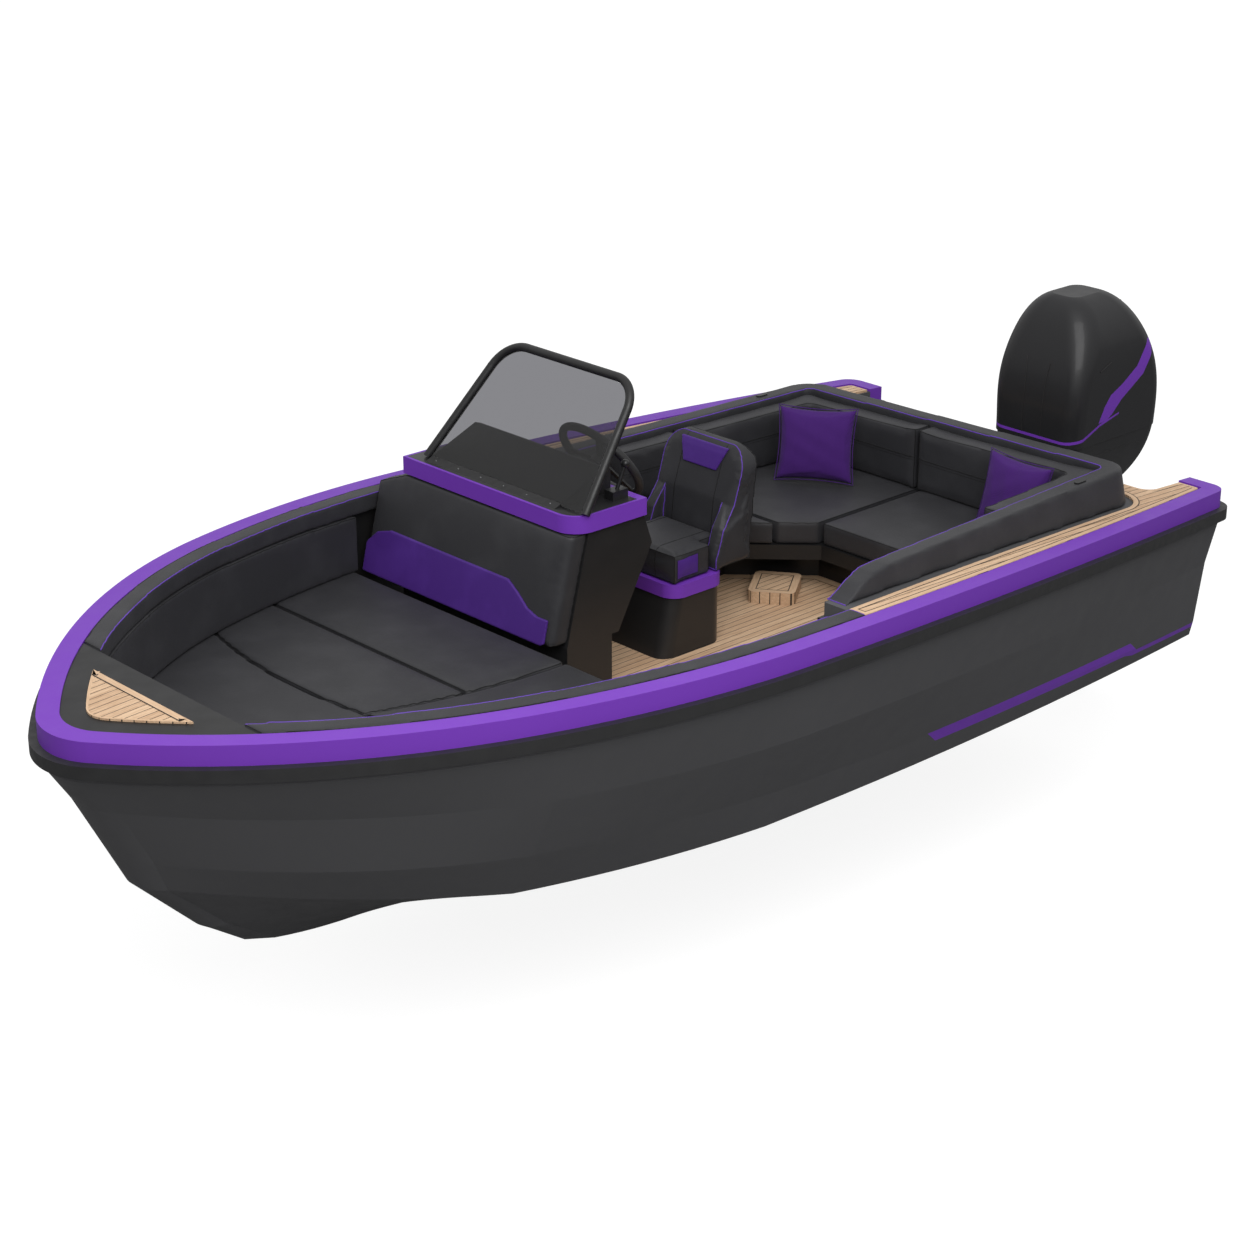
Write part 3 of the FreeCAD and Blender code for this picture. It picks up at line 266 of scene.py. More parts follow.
def smokedAcrylic(name, tint="#b2b2b5"):
    # smoked pane: each face lets under half the light through and mirrors the sky at a slant
    material, tree, shader, place = newMaterial(name)
    tree.nodes.remove(shader)
    clear = addNode(tree, "BsdfTransparent", {"Color": toLinear(tint)})
    smear = remap(tree, noise(tree, place, 7, 4), 0.3, 0.7, 0.02, 0.06)
    mirror = addNode(tree, "BsdfGlossy", {"Color": (1, 1, 1, 1), "Roughness": smear})
    geometry = addNode(tree, "NewGeometry").outputs["Backfacing"]
    front = math2(tree, "SUBTRACT", 1.0, geometry)
    edge = math2(tree, "MULTIPLY", addNode(tree, "Fresnel", {"IOR": 1.49}).outputs[0], front)
    mixed = addNode(tree, "MixShader", {0: edge, 1: clear.outputs[0], 2: mirror.outputs[0]})
    tree.links.new(mixed.outputs[0], tree.nodes["Material Output"].inputs["Surface"])
    return material


finish = {
    "hull_gelcoat": glossyShell("dark_grey_gelcoat", "#505052", 0.5, coat=0.0, shine=0.15),
    "purple_gelcoat": glossyShell("purple_gelcoat", "#7139b0", 0.45, 0.05, coat=0.05, shine=0.2),
    "rubbing_strake": plainBlack("vinyl_rubbing_strake", "#1c1c1d", 0.5),
    "liner_gelcoat": glossyShell("black_liner_gelcoat", "#1b1b1c", 0.42, 0.15, 0.1),
    "teak": teak("teak_planks"),
    "dark_upholstery": vinyl("charcoal_vinyl", "#2b2b2e"),
    "purple_upholstery": vinyl("purple_vinyl", "#431f78"),
    "purple_cloth": wovenCloth("purple_pillow_cloth", "#4b2178"),
    "console_moulding": glossyShell("black_moulded_gelcoat", "#242425", 0.38, 0.12, 0.2),
    "hood_plastic": plainBlack("grained_black_plastic", "#101011", 0.6, grain=420, depth=0.04),
    "black_tube": plainBlack("powder_coated_tube", "#0f0f10", 0.42, 0.0, 500, 0.03),
    "smoked_glass": smokedAcrylic("smoked_acrylic"),
    "wheel_grip": plainBlack("wheel_grip", "#1d1d1e", 0.55, grain=800, depth=0.3),
    "black_metal": plainBlack("black_painted_metal", "#202021", 0.32, 0.3, 400, 0.08),
    "cowl_paint": glossyShell("satin_cowl_paint", "#232325", 0.42, 0.1, 0.15),
    "propeller_paint": plainBlack("propeller_paint", "#1e1e20", 0.3, 0.3, 200, 0.1),
    "cast_block": plainBlack("cast_alloy", "#8a8c8e", 0.5, 0.9, 120, 0.4),
}
# black caulking for the teak joints; the same black also paints the shade lines on the outboard's cowl
caulkAndCowlShadeBlack = plainBlack("black_caulk_and_cowl_shade_lines", "#121112", 0.6)
borderTeak = teak("teak_border_plank", alongUv=True)
# near-black cord for the upholstery seams: it follows real seams, and its near-black colour is painted shade in
# their grooves
seamShadeCord = vinyl("near_black_seam_shade_cord", "#0e0e0f", 900)
purplePiping = vinyl("purple_piping", "#5a36a0", 900)
stainless = brightMetal("polished_stainless")
displayGlass = glossyShell("black_display_glass", "#0b0c0e", 0.1, 0.05, 0.6)


def dressNodes():
    for part in frame["record"]["subparts"]:
        piece = nodes[part["node"]]
        piece.data.materials.clear()
        piece.data.materials.append(finish[part["material_slot"]])


# Making pieces

def newPiece(name, mesh, material, body="boat"):
    piece = bpy.data.objects.new(name, mesh)
    bpy.context.scene.collection.objects.link(piece)
    mesh.materials.clear()
    mesh.materials.append(material)
    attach(piece, body)
    return piece


def pieceFrom(shape, name, material, body="boat"):
    mesh = bpy.data.meshes.new(name)
    shape.to_mesh(mesh)
    shape.free()
    return newPiece(name, mesh, material, body)


def skin(shape, loops):
    # joins rings of equal count with four-sided faces
    for outer, inner in zip(loops, loops[1:]):
        for k in range(len(outer)):
            following = (k + 1) % len(outer)
            shape.faces.new((outer[k], outer[following], inner[following], inner[k]))


def slotOf(node):
    return next(part["material_slot"] for part in frame["record"]["subparts"] if part["node"] == node)


def bodyOf(node):
    return next(name for name, held in frame["record"]["behaviour"]["bodies"].items() if node in held)


def weldedCopy(node):
    shape = bmesh.new()
    shape.from_mesh(nodes[node].data)
    shape.transform(nodes[node].matrix_world)
    bmesh.ops.remove_doubles(shape, verts=shape.verts, dist=0.00002)
    return shape


def applyModifiers(piece):
    graph = bpy.context.evaluated_depsgraph_get()
    made = bpy.data.meshes.new_from_object(piece.evaluated_get(graph))
    piece.modifiers.clear()
    old = piece.data
    piece.data = made
    bpy.data.meshes.remove(old)


def smoothShade(mesh):
    mesh.polygons.foreach_set("use_smooth", [True] * len(mesh.polygons))


def chainEdges(pairs):
    links = {}
    for a, b in pairs:
        links.setdefault(a, []).append(b)
        links.setdefault(b, []).append(a)
    chains, used = [], set()
    starts = [v for v in links if len(links[v]) != 2] + list(links)
    for start in starts:
        for following in links[start]:
            if frozenset((start, following)) in used:
                continue
            chain, last, here = [start, following], start, following
            used.add(frozenset((start, following)))
            while len(links[here]) == 2:
                ahead = [v for v in links[here] if v != last]
                if not ahead or frozenset((here, ahead[0])) in used:
                    break
                used.add(frozenset((here, ahead[0])))
                last, here = here, ahead[0]
                chain.append(here)
            chains.append(chain)
    return chains


def sharpLines(node, chosen, angle=25):
    # the CAD node's own creases, as point lists, so that a seam follows the shape it dresses
    shape = weldedCopy(node)
    pairs = []
    for edge in shape.edges:
        faces = edge.link_faces
        if len(faces) == 2 and faces[0].normal.angle(faces[1].normal, 0) > math.radians(angle):
            middle = (edge.verts[0].co + edge.verts[1].co) / 2
            if chosen(middle, faces[0].normal, faces[1].normal):
                pairs.append((edge.verts[0].index, edge.verts[1].index))
    shape.verts.ensure_lookup_table()
    lines = [[shape.verts[i].co.copy() for i in chain] for chain in chainEdges(pairs)]
    shape.free()
    return lines


def evenly(points, step):
    out, carried = [points[0].copy()], 0.0
    for a, b in zip(points, points[1:]):
        length = (b - a).length
        while length and carried + length >= step:
            a = a + (b - a) * ((step - carried) / length)
            out.append(a.copy())
            length = (b - a).length
            carried = 0.0
        carried += length
    if (out[-1] - points[-1]).length > step * 0.3:
        out.append(points[-1].copy())
    return out


def tube(name, lines, radius, material, body="boat", sides=2):
    curve = bpy.data.curves.new(name, "CURVE")
    curve.dimensions = "3D"
    curve.bevel_depth = radius
    curve.bevel_resolution = sides
    curve.use_fill_caps = True
    for points in lines:
        if len(points) < 2:
            continue
        spline = curve.splines.new("POLY")
        spline.points.add(len(points) - 1)
        for point, place in zip(spline.points, points):
            point.co = (*place, 1)
    piece = bpy.data.objects.new(name, curve)
    bpy.context.scene.collection.objects.link(piece)
    curve.materials.append(material)
    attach(piece, body)
    return piece


# Upholstery: each pad starts from its CAD solid, is rounded, and swells as stuffed vinyl does

pads = {
    # node: (voxel mm, rounding passes, shrink mm, swell cap mm or 0 for firm foam on a board, fill)
    "bow_cushion_front": (16, 2, 1, 6, 0.9),
    "bow_cushion_middle": (14, 2, 1, 6, 0.9),
    "bow_cushion_aft": (14, 2, 1, 6, 0.9),
    "bow_cushion_port": (14, 2, 1, 6, 0.9),
    "bow_wall_pads": (10, 4, 2, 0, 0.95),
    "bow_coaming_port": (10, 5, 2, 0, 0.95),
    "bow_coaming_starboard": (10, 5, 2, 0, 0.95),
    "aft_cushion_starboard": (12, 4, 3, 8, 0.85),
    "aft_cushion_corner": (14, 3, 3, 8, 0.85),
    "aft_cushion_transom": (14, 3, 3, 8, 0.85),
    "aft_back_starboard": (12, 4, 3, 8, 0.85),
    "aft_back_corner": (13, 3, 3, 8, 0.85),
    "aft_back_transom": (13, 3, 3, 8, 0.85),
    "aft_coaming": (11, 5, 2, 0, 0.95),
    "console_backrest": (12, 3, 2, 6, 0.9),
    "backrest_insert": (5, 2, 0.5, 0, 0.8),
    "helm_cushion": (9, 6, 4, 12, 0.8),
    "helm_back": (8, 6, 3, 8, 0.85),
    "helm_headrest": (4, 3, 0.5, 0, 0.8),
}
pillow = {
    "pull": 0.07,       # how far the sides draw in between the corners
    "fullness": 0.9,    # share of the CAD depth
    "swell": 8,         # mm
    "fill": 0.6,
    "cord": 2.2,        # radius of the seam, mm
}
sewing = {
    # radii in mm
    "purple": 2.6, "coaming": 2.8, "seam": 2.2, "panel": 1.8, "back": 2.4, "stitches": 1.2,
    # metres
    "backLevel": 0.83, "stitchLevel": 0.815, "helmPanel": 0.13,
}
cockpitMiddle = Vector((-1.4, 0, 0))
aftBacks = ("aft_back_starboard", "aft_back_corner", "aft_back_transom")


def roundedCopy(name, shape, voxel, passes, shrink):
    mesh = bpy.data.meshes.new(name)
    shape.to_mesh(mesh)
    shape.free()
    piece = bpy.data.objects.new(name, mesh)
    bpy.context.scene.collection.objects.link(piece)
    remesh = piece.modifiers.new("remesh", "REMESH")
    remesh.mode = "VOXEL"
    remesh.voxel_size = voxel * mm
    ease = piece.modifiers.new("ease", "SMOOTH")
    ease.factor = 0.5
    ease.iterations = passes
    pull = piece.modifiers.new("pull", "DISPLACE")
    pull.strength = -shrink * mm
    pull.mid_level = 0
    applyModifiers(piece)
    return piece


def swell(piece, cap, pressure=4.0):
    if not cap:
        return
    rest = [v.co.copy() for v in piece.data.vertices]
    cloth = piece.modifiers.new("cloth", "CLOTH")
    cloth.settings.use_pressure = True
    cloth.settings.uniform_pressure_force = pressure
    cloth.settings.effector_weights.gravity = 0
    cloth.settings.quality = 3
    cloth.collision_settings.use_collision = False
    cloth.point_cache.frame_start = 1
    cloth.point_cache.frame_end = 20
    for number in range(1, 21):
        bpy.context.scene.frame_set(number)
    graph = bpy.context.evaluated_depsgraph_get()
    grown = piece.evaluated_get(graph).data
    moved = [grown.vertices[i].co.copy() for i in range(len(rest))]
    piece.modifiers.clear()
    print("swelled", piece.name, len(rest))
    limit = cap * mm
    for vertex, old, new in zip(piece.data.vertices, rest, moved):
        step = new - old
        if step.length > limit:
            step = step * (limit / step.length)
        vertex.co = old + step
    bpy.context.scene.frame_set(1)


def dressPads():
    made = {}
    for node, (voxel, passes, shrink, cap, fill) in pads.items():
        piece = roundedCopy(node + "_soft", weldedCopy(node), voxel, passes, shrink)
        swell(piece, cap)
        smoothShade(piece.data)
        piece.data.materials.clear()
        piece.data.materials.append(finish[slotOf(node)])
        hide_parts(node)
        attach(piece, bodyOf(node))
        made[node] = piece
    return made


def snapTo(piece, points, lift):
    # lays a seam on the pad's finished surface
    tree = BVHTree.FromObject(piece, bpy.context.evaluated_depsgraph_get())
    out = []
    for point in points:
        place, normal, _, _ = tree.find_nearest(point)
        out.append(place + normal * lift)
    return out


# a cord along the pad's creases; without a given material it is the near-black cord, painted shade in the seam's
# groove
def seams(name, node, chosen, radius, material=None, angle=25, shortest=0.08, step=0.012):
    lines = []
    for line in sharpLines(node, chosen, angle):
        points = evenly(line, step)
        if (len(points) - 1) * step >= shortest:
            lines.append(snapTo(made[node], points, 0))
    if lines:
        piece = tube(name, lines, radius * mm, material or seamShadeCord, bodyOf(node))


def pillowMesh(corner, halfWide, halfHigh, halfThick, middle, across, high, normal):
    # a knife-edge pillow: full in the middle, thin at its seam, with corners that stand out past pulled-in sides
    count = 44
    shape = bmesh.new()
    grids = []
    for side in (1, -1):
        grid = []
        for i in range(count + 1):
            row = []
            for j in range(count + 1):
                u, v = 2 * i / count - 1, 2 * j / count - 1
                pullU = 1 - corner * (1 - v * v)
                pullV = 1 - corner * (1 - u * u)
                plump = (max(0, 1 - abs(u) ** 2.2) * max(0, 1 - abs(v) ** 2.2)) ** 0.55
                fold = 0.05 * math.sin(9 * u + 4 * v) * math.sin(7 * v - 3 * u) * plump
                place = middle + across * (halfWide * u * pullU) + high * (halfHigh * v * pullV)
                row.append(shape.verts.new(place + normal * (side * halfThick * (plump + fold))))
            grid.append(row)
        grids.append(grid)
    for side, grid in enumerate(grids):
        for i in range(count):
            for j in range(count):
                corners = [grid[i][j], grid[i + 1][j], grid[i + 1][j + 1], grid[i][j + 1]]
                shape.faces.new(corners if side == 0 else corners[::-1])
    bmesh.ops.remove_doubles(shape, verts=shape.verts, dist=0.0005)
    bmesh.ops.recalc_face_normals(shape, faces=shape.faces)
    return shape


def islands(shape):
    left, found = set(shape.verts), []
    while left:
        held, stack = set(), [left.pop()]
        while stack:
            vertex = stack.pop()
            held.add(vertex)
            for edge in vertex.link_edges:
                other = edge.other_vert(vertex)
                if other in left:
                    left.discard(other)
                    stack.append(other)
        found.append([vertex.co.copy() for vertex in held])
    return found


def slabAxes(points):
    # the slab's thin direction comes from its largest flat side, the others from level and upright
    middle = sum(points, Vector()) / len(points)
    best = None
    for turn in range(0, 180, 2):
        for lean in range(-30, 31, 2):
            angle, tip = math.radians(turn), math.radians(lean)
            normal = Vector((math.cos(angle) * math.cos(tip), math.sin(angle) * math.cos(tip), math.sin(tip)))
            spread = [(p - middle).dot(normal) for p in points]
            width = max(spread) - min(spread)
            if best is None or width < best[0]:
                best = (width, normal)
    normal = best[1]
    high = (up - normal * normal.z).normalized()
    across = high.cross(normal)
    halves, centre = [], middle.copy()
    for axis in (across, high, normal):
        spread = [p.dot(axis) for p in points]
        halves.append((max(spread) - min(spread)) / 2)
        centre += axis * ((max(spread) + min(spread)) / 2 - middle.dot(axis))
    return halves, centre, across, high, normal


def pillowRim(halves, centre, across, high):
    corners = [(-1, -1), (1, -1), (1, 1), (-1, 1), (-1, -1)]
    rim = []
    for (u0, v0), (u1, v1) in zip(corners, corners[1:]):
        for step in range(24):
            u, v = u0 + (u1 - u0) * step / 24, v0 + (v1 - v0) * step / 24
            rim.append(centre + across * (halves[0] * u * (1 - pillow["pull"] * (1 - v * v)))
                       + high * (halves[1] * v * (1 - pillow["pull"] * (1 - u * u))))
    return rim + rim[:1]


def makePillows():
    shape = weldedCopy("pillows")
    for number, points in enumerate(islands(shape), 1):
        halves, centre, across, high, normal = slabAxes(points)
        form = pillowMesh(pillow["pull"], halves[0], halves[1], halves[2] * pillow["fullness"], centre, across, high,
                          normal)
        piece = pieceFrom(form, "pillow_%d" % number, finish["purple_cloth"])
        swell(piece, pillow["swell"], 2.0)
        smoothShade(piece.data)
        cord = tube("pillow_%d_seam" % number, [pillowRim(halves, centre, across, high)], pillow["cord"] * mm,
                    finish["purple_cloth"])
        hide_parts("pillows")
    shape.free()


# Teak: a mitred border plank round each panel, with a caulked joint inside it

def topLoops(node, flatness=0.7):
    shape = weldedCopy(node)
    pairs, inside = [], {}
    for edge in shape.edges:
        tops = [face for face in edge.link_faces if face.normal.z > flatness]
        if len(tops) == 1:
            key = (edge.verts[0].index, edge.verts[1].index)
            pairs.append(key)
            inside[frozenset(key)] = tops[0].calc_center_median()
    shape.verts.ensure_lookup_table()
    loops = []
    for chain in chainEdges(pairs):
        if chain[0] == chain[-1] and len(chain) > 3:
            points = [shape.verts[i].co.copy() for i in chain[:-1]]
            centre = inside[frozenset(chain[:2])]
            along = points[1] - points[0]
            left = Vector((-along.y, along.x, 0))
            loops.append((points, 1 if left.dot(centre - points[0]) > 0 else -1))
    shape.free()
    return loops


def offsetLoop(points, side, distance):
    out = []
    for i, point in enumerate(points):
        before, after = point - points[i - 1], points[(i + 1) % len(points)] - point
        first = Vector((-before.y, before.x, 0)).normalized()
        second = Vector((-after.y, after.x, 0)).normalized()
        bisector = first + second
        if bisector.length < 0.3:
            bisector = first
        bisector.normalize()
        reach = distance / max(0.5, bisector.dot(first))
        out.append(point + bisector * side * reach)
    return out


def ribbon(name, loops, near, far, lift, material):
    shape = bmesh.new()
    layer = shape.loops.layers.uv.new("along")
    for points, side in loops:
        dense = []
        for i, point in enumerate(points):
            following = points[(i + 1) % len(points)]
            cuts = max(1, int((following - point).length / 0.04))
            dense += [point + (following - point) * (k / cuts) for k in range(cuts)]
        outer, inner = offsetLoop(dense, side, near), offsetLoop(dense, side, far)
        rows = [[shape.verts.new(p + up * lift) for p in ring] for ring in (outer, inner)]
        length = 0.0
        for i in range(len(dense)):
            j = (i + 1) % len(dense)
            span = (dense[j] - dense[i]).length
            corners = [rows[0][i], rows[0][j], rows[1][j], rows[1][i]]
            places = [(length, 0), (length + span, 0), (length + span, far - near), (length, far - near)]
            if side < 0:
                corners, places = corners[::-1], places[::-1]
            face = shape.faces.new(corners)
            for corner, place in zip(face.loops, places):
                corner[layer].uv = place
            length += span
    pieceFrom(shape, name, material)


borders = {"floor_teak": 48, "deck_teak": 24, "bow_teak": 30, "aft_steps": 34}   # border plank's width, mm
borderJoint = 4.5   # mm


def dressTeak():
    for node, width in borders.items():
        loops = topLoops(node)
        ribbon(node + "_border", loops, 0.0, width * mm, 0.5 * mm, borderTeak)
        ribbon(node + "_joint", loops, width * mm, (width + borderJoint) * mm, 0.7 * mm, caulkAndCowlShadeBlack)


# Piping and seams

def facing(first, second, way, least=0.3):
    return (first.z > 0.6 and second.dot(way) > least) or (second.z > 0.6 and first.dot(way) > least)


def cutLine(name, node, place, normal, chosen, radius):
    # a sewn seam where a flat cut meets the finished pad, drawn as a near-black cord: painted shade in the seam's
    # groove
    shape = bmesh.new()
    shape.from_mesh(made[node].data)
    held = bmesh.ops.bisect_plane(shape, geom=shape.verts[:] + shape.edges[:] + shape.faces[:], plane_co=place,
                                  plane_no=normal)["geom_cut"]
    shape.normal_update()
    pairs = []
    for edge in held:
        if isinstance(edge, bmesh.types.BMEdge):
            a, b = edge.verts
            if chosen((a.co + b.co) / 2, (a.normal + b.normal).normalized()):
                pairs.append((a, b))
    lines = [evenly([v.co.copy() for v in chain], 0.015) for chain in chainEdges(pairs) if len(chain) > 3]
    shape.free()
    if lines:
        tube(name, lines, radius * mm, seamShadeCord, bodyOf(node))


def patch(name, node, corners, material, lift=1.5, count=10):
    # a sewn-in panel: four corners laid on the pad
    tree = BVHTree.FromObject(made[node], bpy.context.evaluated_depsgraph_get())
    a, b, c, d = (Vector(corner) for corner in corners)
    shape = bmesh.new()
    rows = []
    for i in range(count + 1):
        row = []
        for j in range(count + 1):
            u, v = i / count, j / count
            spot = a * (1 - u) * (1 - v) + b * u * (1 - v) + c * u * v + d * (1 - u) * v
            place, normal, _, _ = tree.find_nearest(spot)
            row.append(shape.verts.new(place + normal * lift * mm))
        rows.append(row)
    for i in range(count):
        for j in range(count):
            shape.faces.new((rows[i][j], rows[i + 1][j], rows[i + 1][j + 1], rows[i][j + 1]))
    bmesh.ops.recalc_face_normals(shape, faces=shape.faces)
    piece = pieceFrom(shape, name, material, bodyOf(node))
    smoothShade(piece.data)
    rim = [a, b, c, d, a]
    dense = [p + (q - p) * (k / 12) for p, q in zip(rim, rim[1:]) for k in range(12)] + [a]
    # the panel's edge seam is the near-black cord: painted shade in its groove
    edge = tube(name + "_seam", [snapTo(made[node], dense, 1 * mm)], 1.5 * mm, seamShadeCord, bodyOf(node))


def dressCoamings():
    for side, node in ((1, "bow_coaming_port"), (-1, "bow_coaming_starboard")):
        inboard = Vector((-0.35, -side, 0))
        seams(node + "_piping", node, lambda p, a, b: facing(a, b, inboard), sewing["purple"], purplePiping)
        seams(node + "_seam", node, lambda p, a, b: facing(a, b, -inboard), sewing["seam"])
    seams("aft_coaming_piping", "aft_coaming",
          lambda p, a, b: facing(a, b, (cockpitMiddle - p).normalized(), 0.2) and p.z > 0.9,
          sewing["coaming"], purplePiping)


def dressLounges():
    for node in ("bow_cushion_front", "bow_cushion_middle", "bow_cushion_aft", "bow_cushion_port",
                 "aft_cushion_starboard", "aft_cushion_corner", "aft_cushion_transom"):
        top = max(v.co.z for v in nodes[node].data.vertices)
        seams(node + "_piping", node, lambda p, a, b: p.z > top - 0.004, sewing["seam"])
    for node in (*aftBacks, "console_backrest", "helm_cushion"):
        seams(node + "_piping", node, lambda p, a, b: True, sewing["seam"], angle=40)

    def inward(p, n):
        return n.dot((cockpitMiddle - p).normalized()) > 0.3 and abs(n.z) < 0.7
    for node in aftBacks:
        cutLine(node + "_mid_seam", node, (0, 0, sewing["backLevel"]), up, inward, sewing["back"])
        cutLine(node + "_stitch_row", node, (0, 0, sewing["stitchLevel"]), up, inward, sewing["stitches"])
    seams("bow_wall_pads_piping", "bow_wall_pads", lambda p, a, b: a.z > 0.6 or b.z > 0.6, sewing["seam"])


def dressHelmSeat():
    # purple piping round the wings, two panel seams up the seat and a purple insert in its cushion's side
    seams("helm_back_piping", "helm_back", lambda p, a, b: max(a.x, b.x) > 0.6, sewing["purple"], purplePiping,
          angle=40)
    seams("helm_back_seam", "helm_back", lambda p, a, b: max(a.x, b.x) <= 0.6, sewing["seam"], angle=40)
    low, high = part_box("helm_back")
    centre = (low[1] + high[1]) / 2
    for number, side in enumerate((-1, 1)):
        place = (0, centre + side * sewing["helmPanel"], 0)
        cutLine("helm_back_panel_seam_%d" % number, "helm_back", place, (0, 1, 0), lambda p, n: n.x > 0.3,
                sewing["panel"])
    low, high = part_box("helm_cushion")
    (x, y), bottom, top = high[:2], low[2] + 0.025, high[2] - 0.025
    corners = [(x - 0.03, y, bottom), (x - 0.17, y, bottom), (x - 0.17, y, top), (x - 0.03, y, top)]
    patch("helm_cushion_insert", "helm_cushion", corners, finish["purple_upholstery"])
    for number, side in enumerate((1, -1)):
        place = (0, centre + side * sewing["helmPanel"], 0)
        cutLine("helm_cushion_panel_seam_%d" % number, "helm_cushion", place, (0, 1, 0),
                lambda p, n: n.z > 0.3 or n.x > 0.5, sewing["panel"])


def onNode(node, points, lift=0.0):
    shape = weldedCopy(node)
    tree = BVHTree.FromBMesh(shape)
    out = []
    for point in points:
        place, normal, _, _ = tree.find_nearest(Vector(point))
        out.append(place + normal * lift)
    shape.free()
    return out


def smoothLine(points, step=0.012):
    dense = []
    padded = [points[0]] + list(points) + [points[-1]]
    for i in range(1, len(padded) - 2):
        a, b, c, d = (Vector(p) for p in padded[i - 1:i + 3])
        for k in range(10):
            t = k / 10
            dense.append(0.5 * (2 * b + (c - a) * t + (2 * a - 5 * b + 4 * c - d) * t * t
                                + (3 * b - a - 3 * c + d) * t ** 3))
    dense.append(Vector(points[-1]))
    return evenly(dense, step)


# Outboard: moulded seams, creases and vent slots drawn as black tubes of painted shade, the cowl's gasket, and bolts

cowlLines = {
    # black lines of painted shade along the hood seam, the shoulder crease and the cheek recess: radius in mm, then
    # places (x, y, z) in metres, laid on the cowl and mirrored
    "hood": (2.6, [(-3.02, 0.06, 0.81), (-3.02, 0.062, 1.0), (-3.03, 0.066, 1.13), (-3.09, 0.085, 1.25),
                   (-3.2, 0.1, 1.34), (-3.35, 0.1, 1.43), (-3.46, 0.07, 1.49)]),
    "shoulder": (2.6, [(-3.05, 0.23, 0.82), (-3.05, 0.22, 1.0), (-3.08, 0.21, 1.13), (-3.16, 0.23, 1.22),
                       (-3.3, 0.23, 1.30), (-3.45, 0.2, 1.38), (-3.53, 0.13, 1.45)]),
    "cheek": (3.6, [(-3.2, 0.28, 1.16), (-3.3, 0.27, 1.2), (-3.42, 0.25, 1.27), (-3.54, 0.2, 1.36)]),
}
cowlRing = {"centre": -3.38, "halfLength": 0.4, "halfWidth": 0.3}   # a ring that finds the cowl's sides
# the gasket is a black rubber seal; the seam line below it is black painted shade
lowerCowl = {"gasketLevel": 0.778, "gasket": 4, "seamLevel": 0.70, "seam": 1.6}   # metres, radii in mm
# dark bars of painted shade standing for the vent slots
rearVents = {"count": 6, "low": 1.18, "pitch": 0.026, "halfWidth": 11, "radius": 4.5}   # half width in cm


def motorTube(name, lines, radius):
    # every cowl tube is black: painted shade in the seams, creases and vent slots, and the rubber of the gasket
    tube(name, lines, radius * mm, caulkAndCowlShadeBlack, "motor")


def dressMotor():
    for name, (radius, points) in cowlLines.items():
        lines = []
        for side in (1, -1):
            flipped = [(x, side * y, z) for x, y, z in smoothLine(points)]
            lines.append(onNode("upper_cowl", flipped, 0.2 * mm))
        motorTube("cowl_shade_line_" + name, lines, radius)
    ring = []
    for turn in range(0, 361, 4):
        angle = math.radians(turn)
        ring.append((cowlRing["centre"] + cowlRing["halfLength"] * math.cos(angle),
                     cowlRing["halfWidth"] * math.sin(angle)))
    for name, kind in (("cowl_gasket", "gasket"), ("lower_cowl_seamline_shade", "seam")):
        level = lowerCowl[kind + "Level"]
        motorTube(name, [onNode("lower_cowl", [(x, y, level) for x, y in ring])], lowerCowl[kind])
    ventShadeBars = []
    for number in range(rearVents["count"]):
        z = rearVents["low"] + number * rearVents["pitch"]
        reach = range(-rearVents["halfWidth"], rearVents["halfWidth"] + 1)
        ventShadeBars.append(onNode("upper_cowl", [(-3.75, y * 0.01, z) for y in reach], 1 * mm))
    motorTube("cowl_rear_vent_shade", ventShadeBars, rearVents["radius"])


def bolts(name, places, way, radius, height, material, body):
    # domed hexagon heads on a washer
    shape = bmesh.new()
    turn = Vector((0, 0, 1)).rotation_difference(Vector(way)).to_matrix().to_4x4()
    for place in places:
        spot = Matrix.Translation(place) @ turn
        for sides, wide, low, high in ((20, 1.5, 0, 0.25), (6, 1.0, 0.25, 0.85), (12, 0.7, 0.85, 1.0)):
            made = bmesh.ops.create_cone(shape, cap_ends=True, segments=sides, radius1=radius * wide,
                                         radius2=radius * wide * 0.92, depth=height * (high - low))
            bmesh.ops.transform(shape, matrix=spot @ Matrix.Translation((0, 0, height * (low + high) / 2)),
                                verts=made["verts"])
    pieceFrom(shape, name, material, body)


def dialFace(name, place, radius):
    # a gauge: bright bezel round a sunk dark glass, facing aft; rings are shares of the radius and heights
    turn = Vector((0, 0, 1)).rotation_difference(Vector((-1, 0, 0))).to_matrix().to_4x4()
    bezel = ((1.0, 0.0), (1.0, 0.006), (0.86, 0.007), (0.84, 0.003))
    glass = ((0.84, 0.003), (0.5, 0.0034), (0.02, 0.0036))
    for kind, rings, material in (("bezel", bezel, stainless), ("glass", glass, displayGlass)):
        shape = bmesh.new()
        loops = []
        for share, rise in rings:
            loops.append([shape.verts.new((radius * share * math.cos(k * math.pi / 18),
                                           radius * share * math.sin(k * math.pi / 18), rise)) for k in range(36)])
        skin(shape, loops)
        if kind == "glass":
            shape.faces.new(loops[-1])
        shape.transform(Matrix.Translation(place) @ turn)
        piece = pieceFrom(shape, name + "_" + kind, material)
        smoothShade(piece.data)


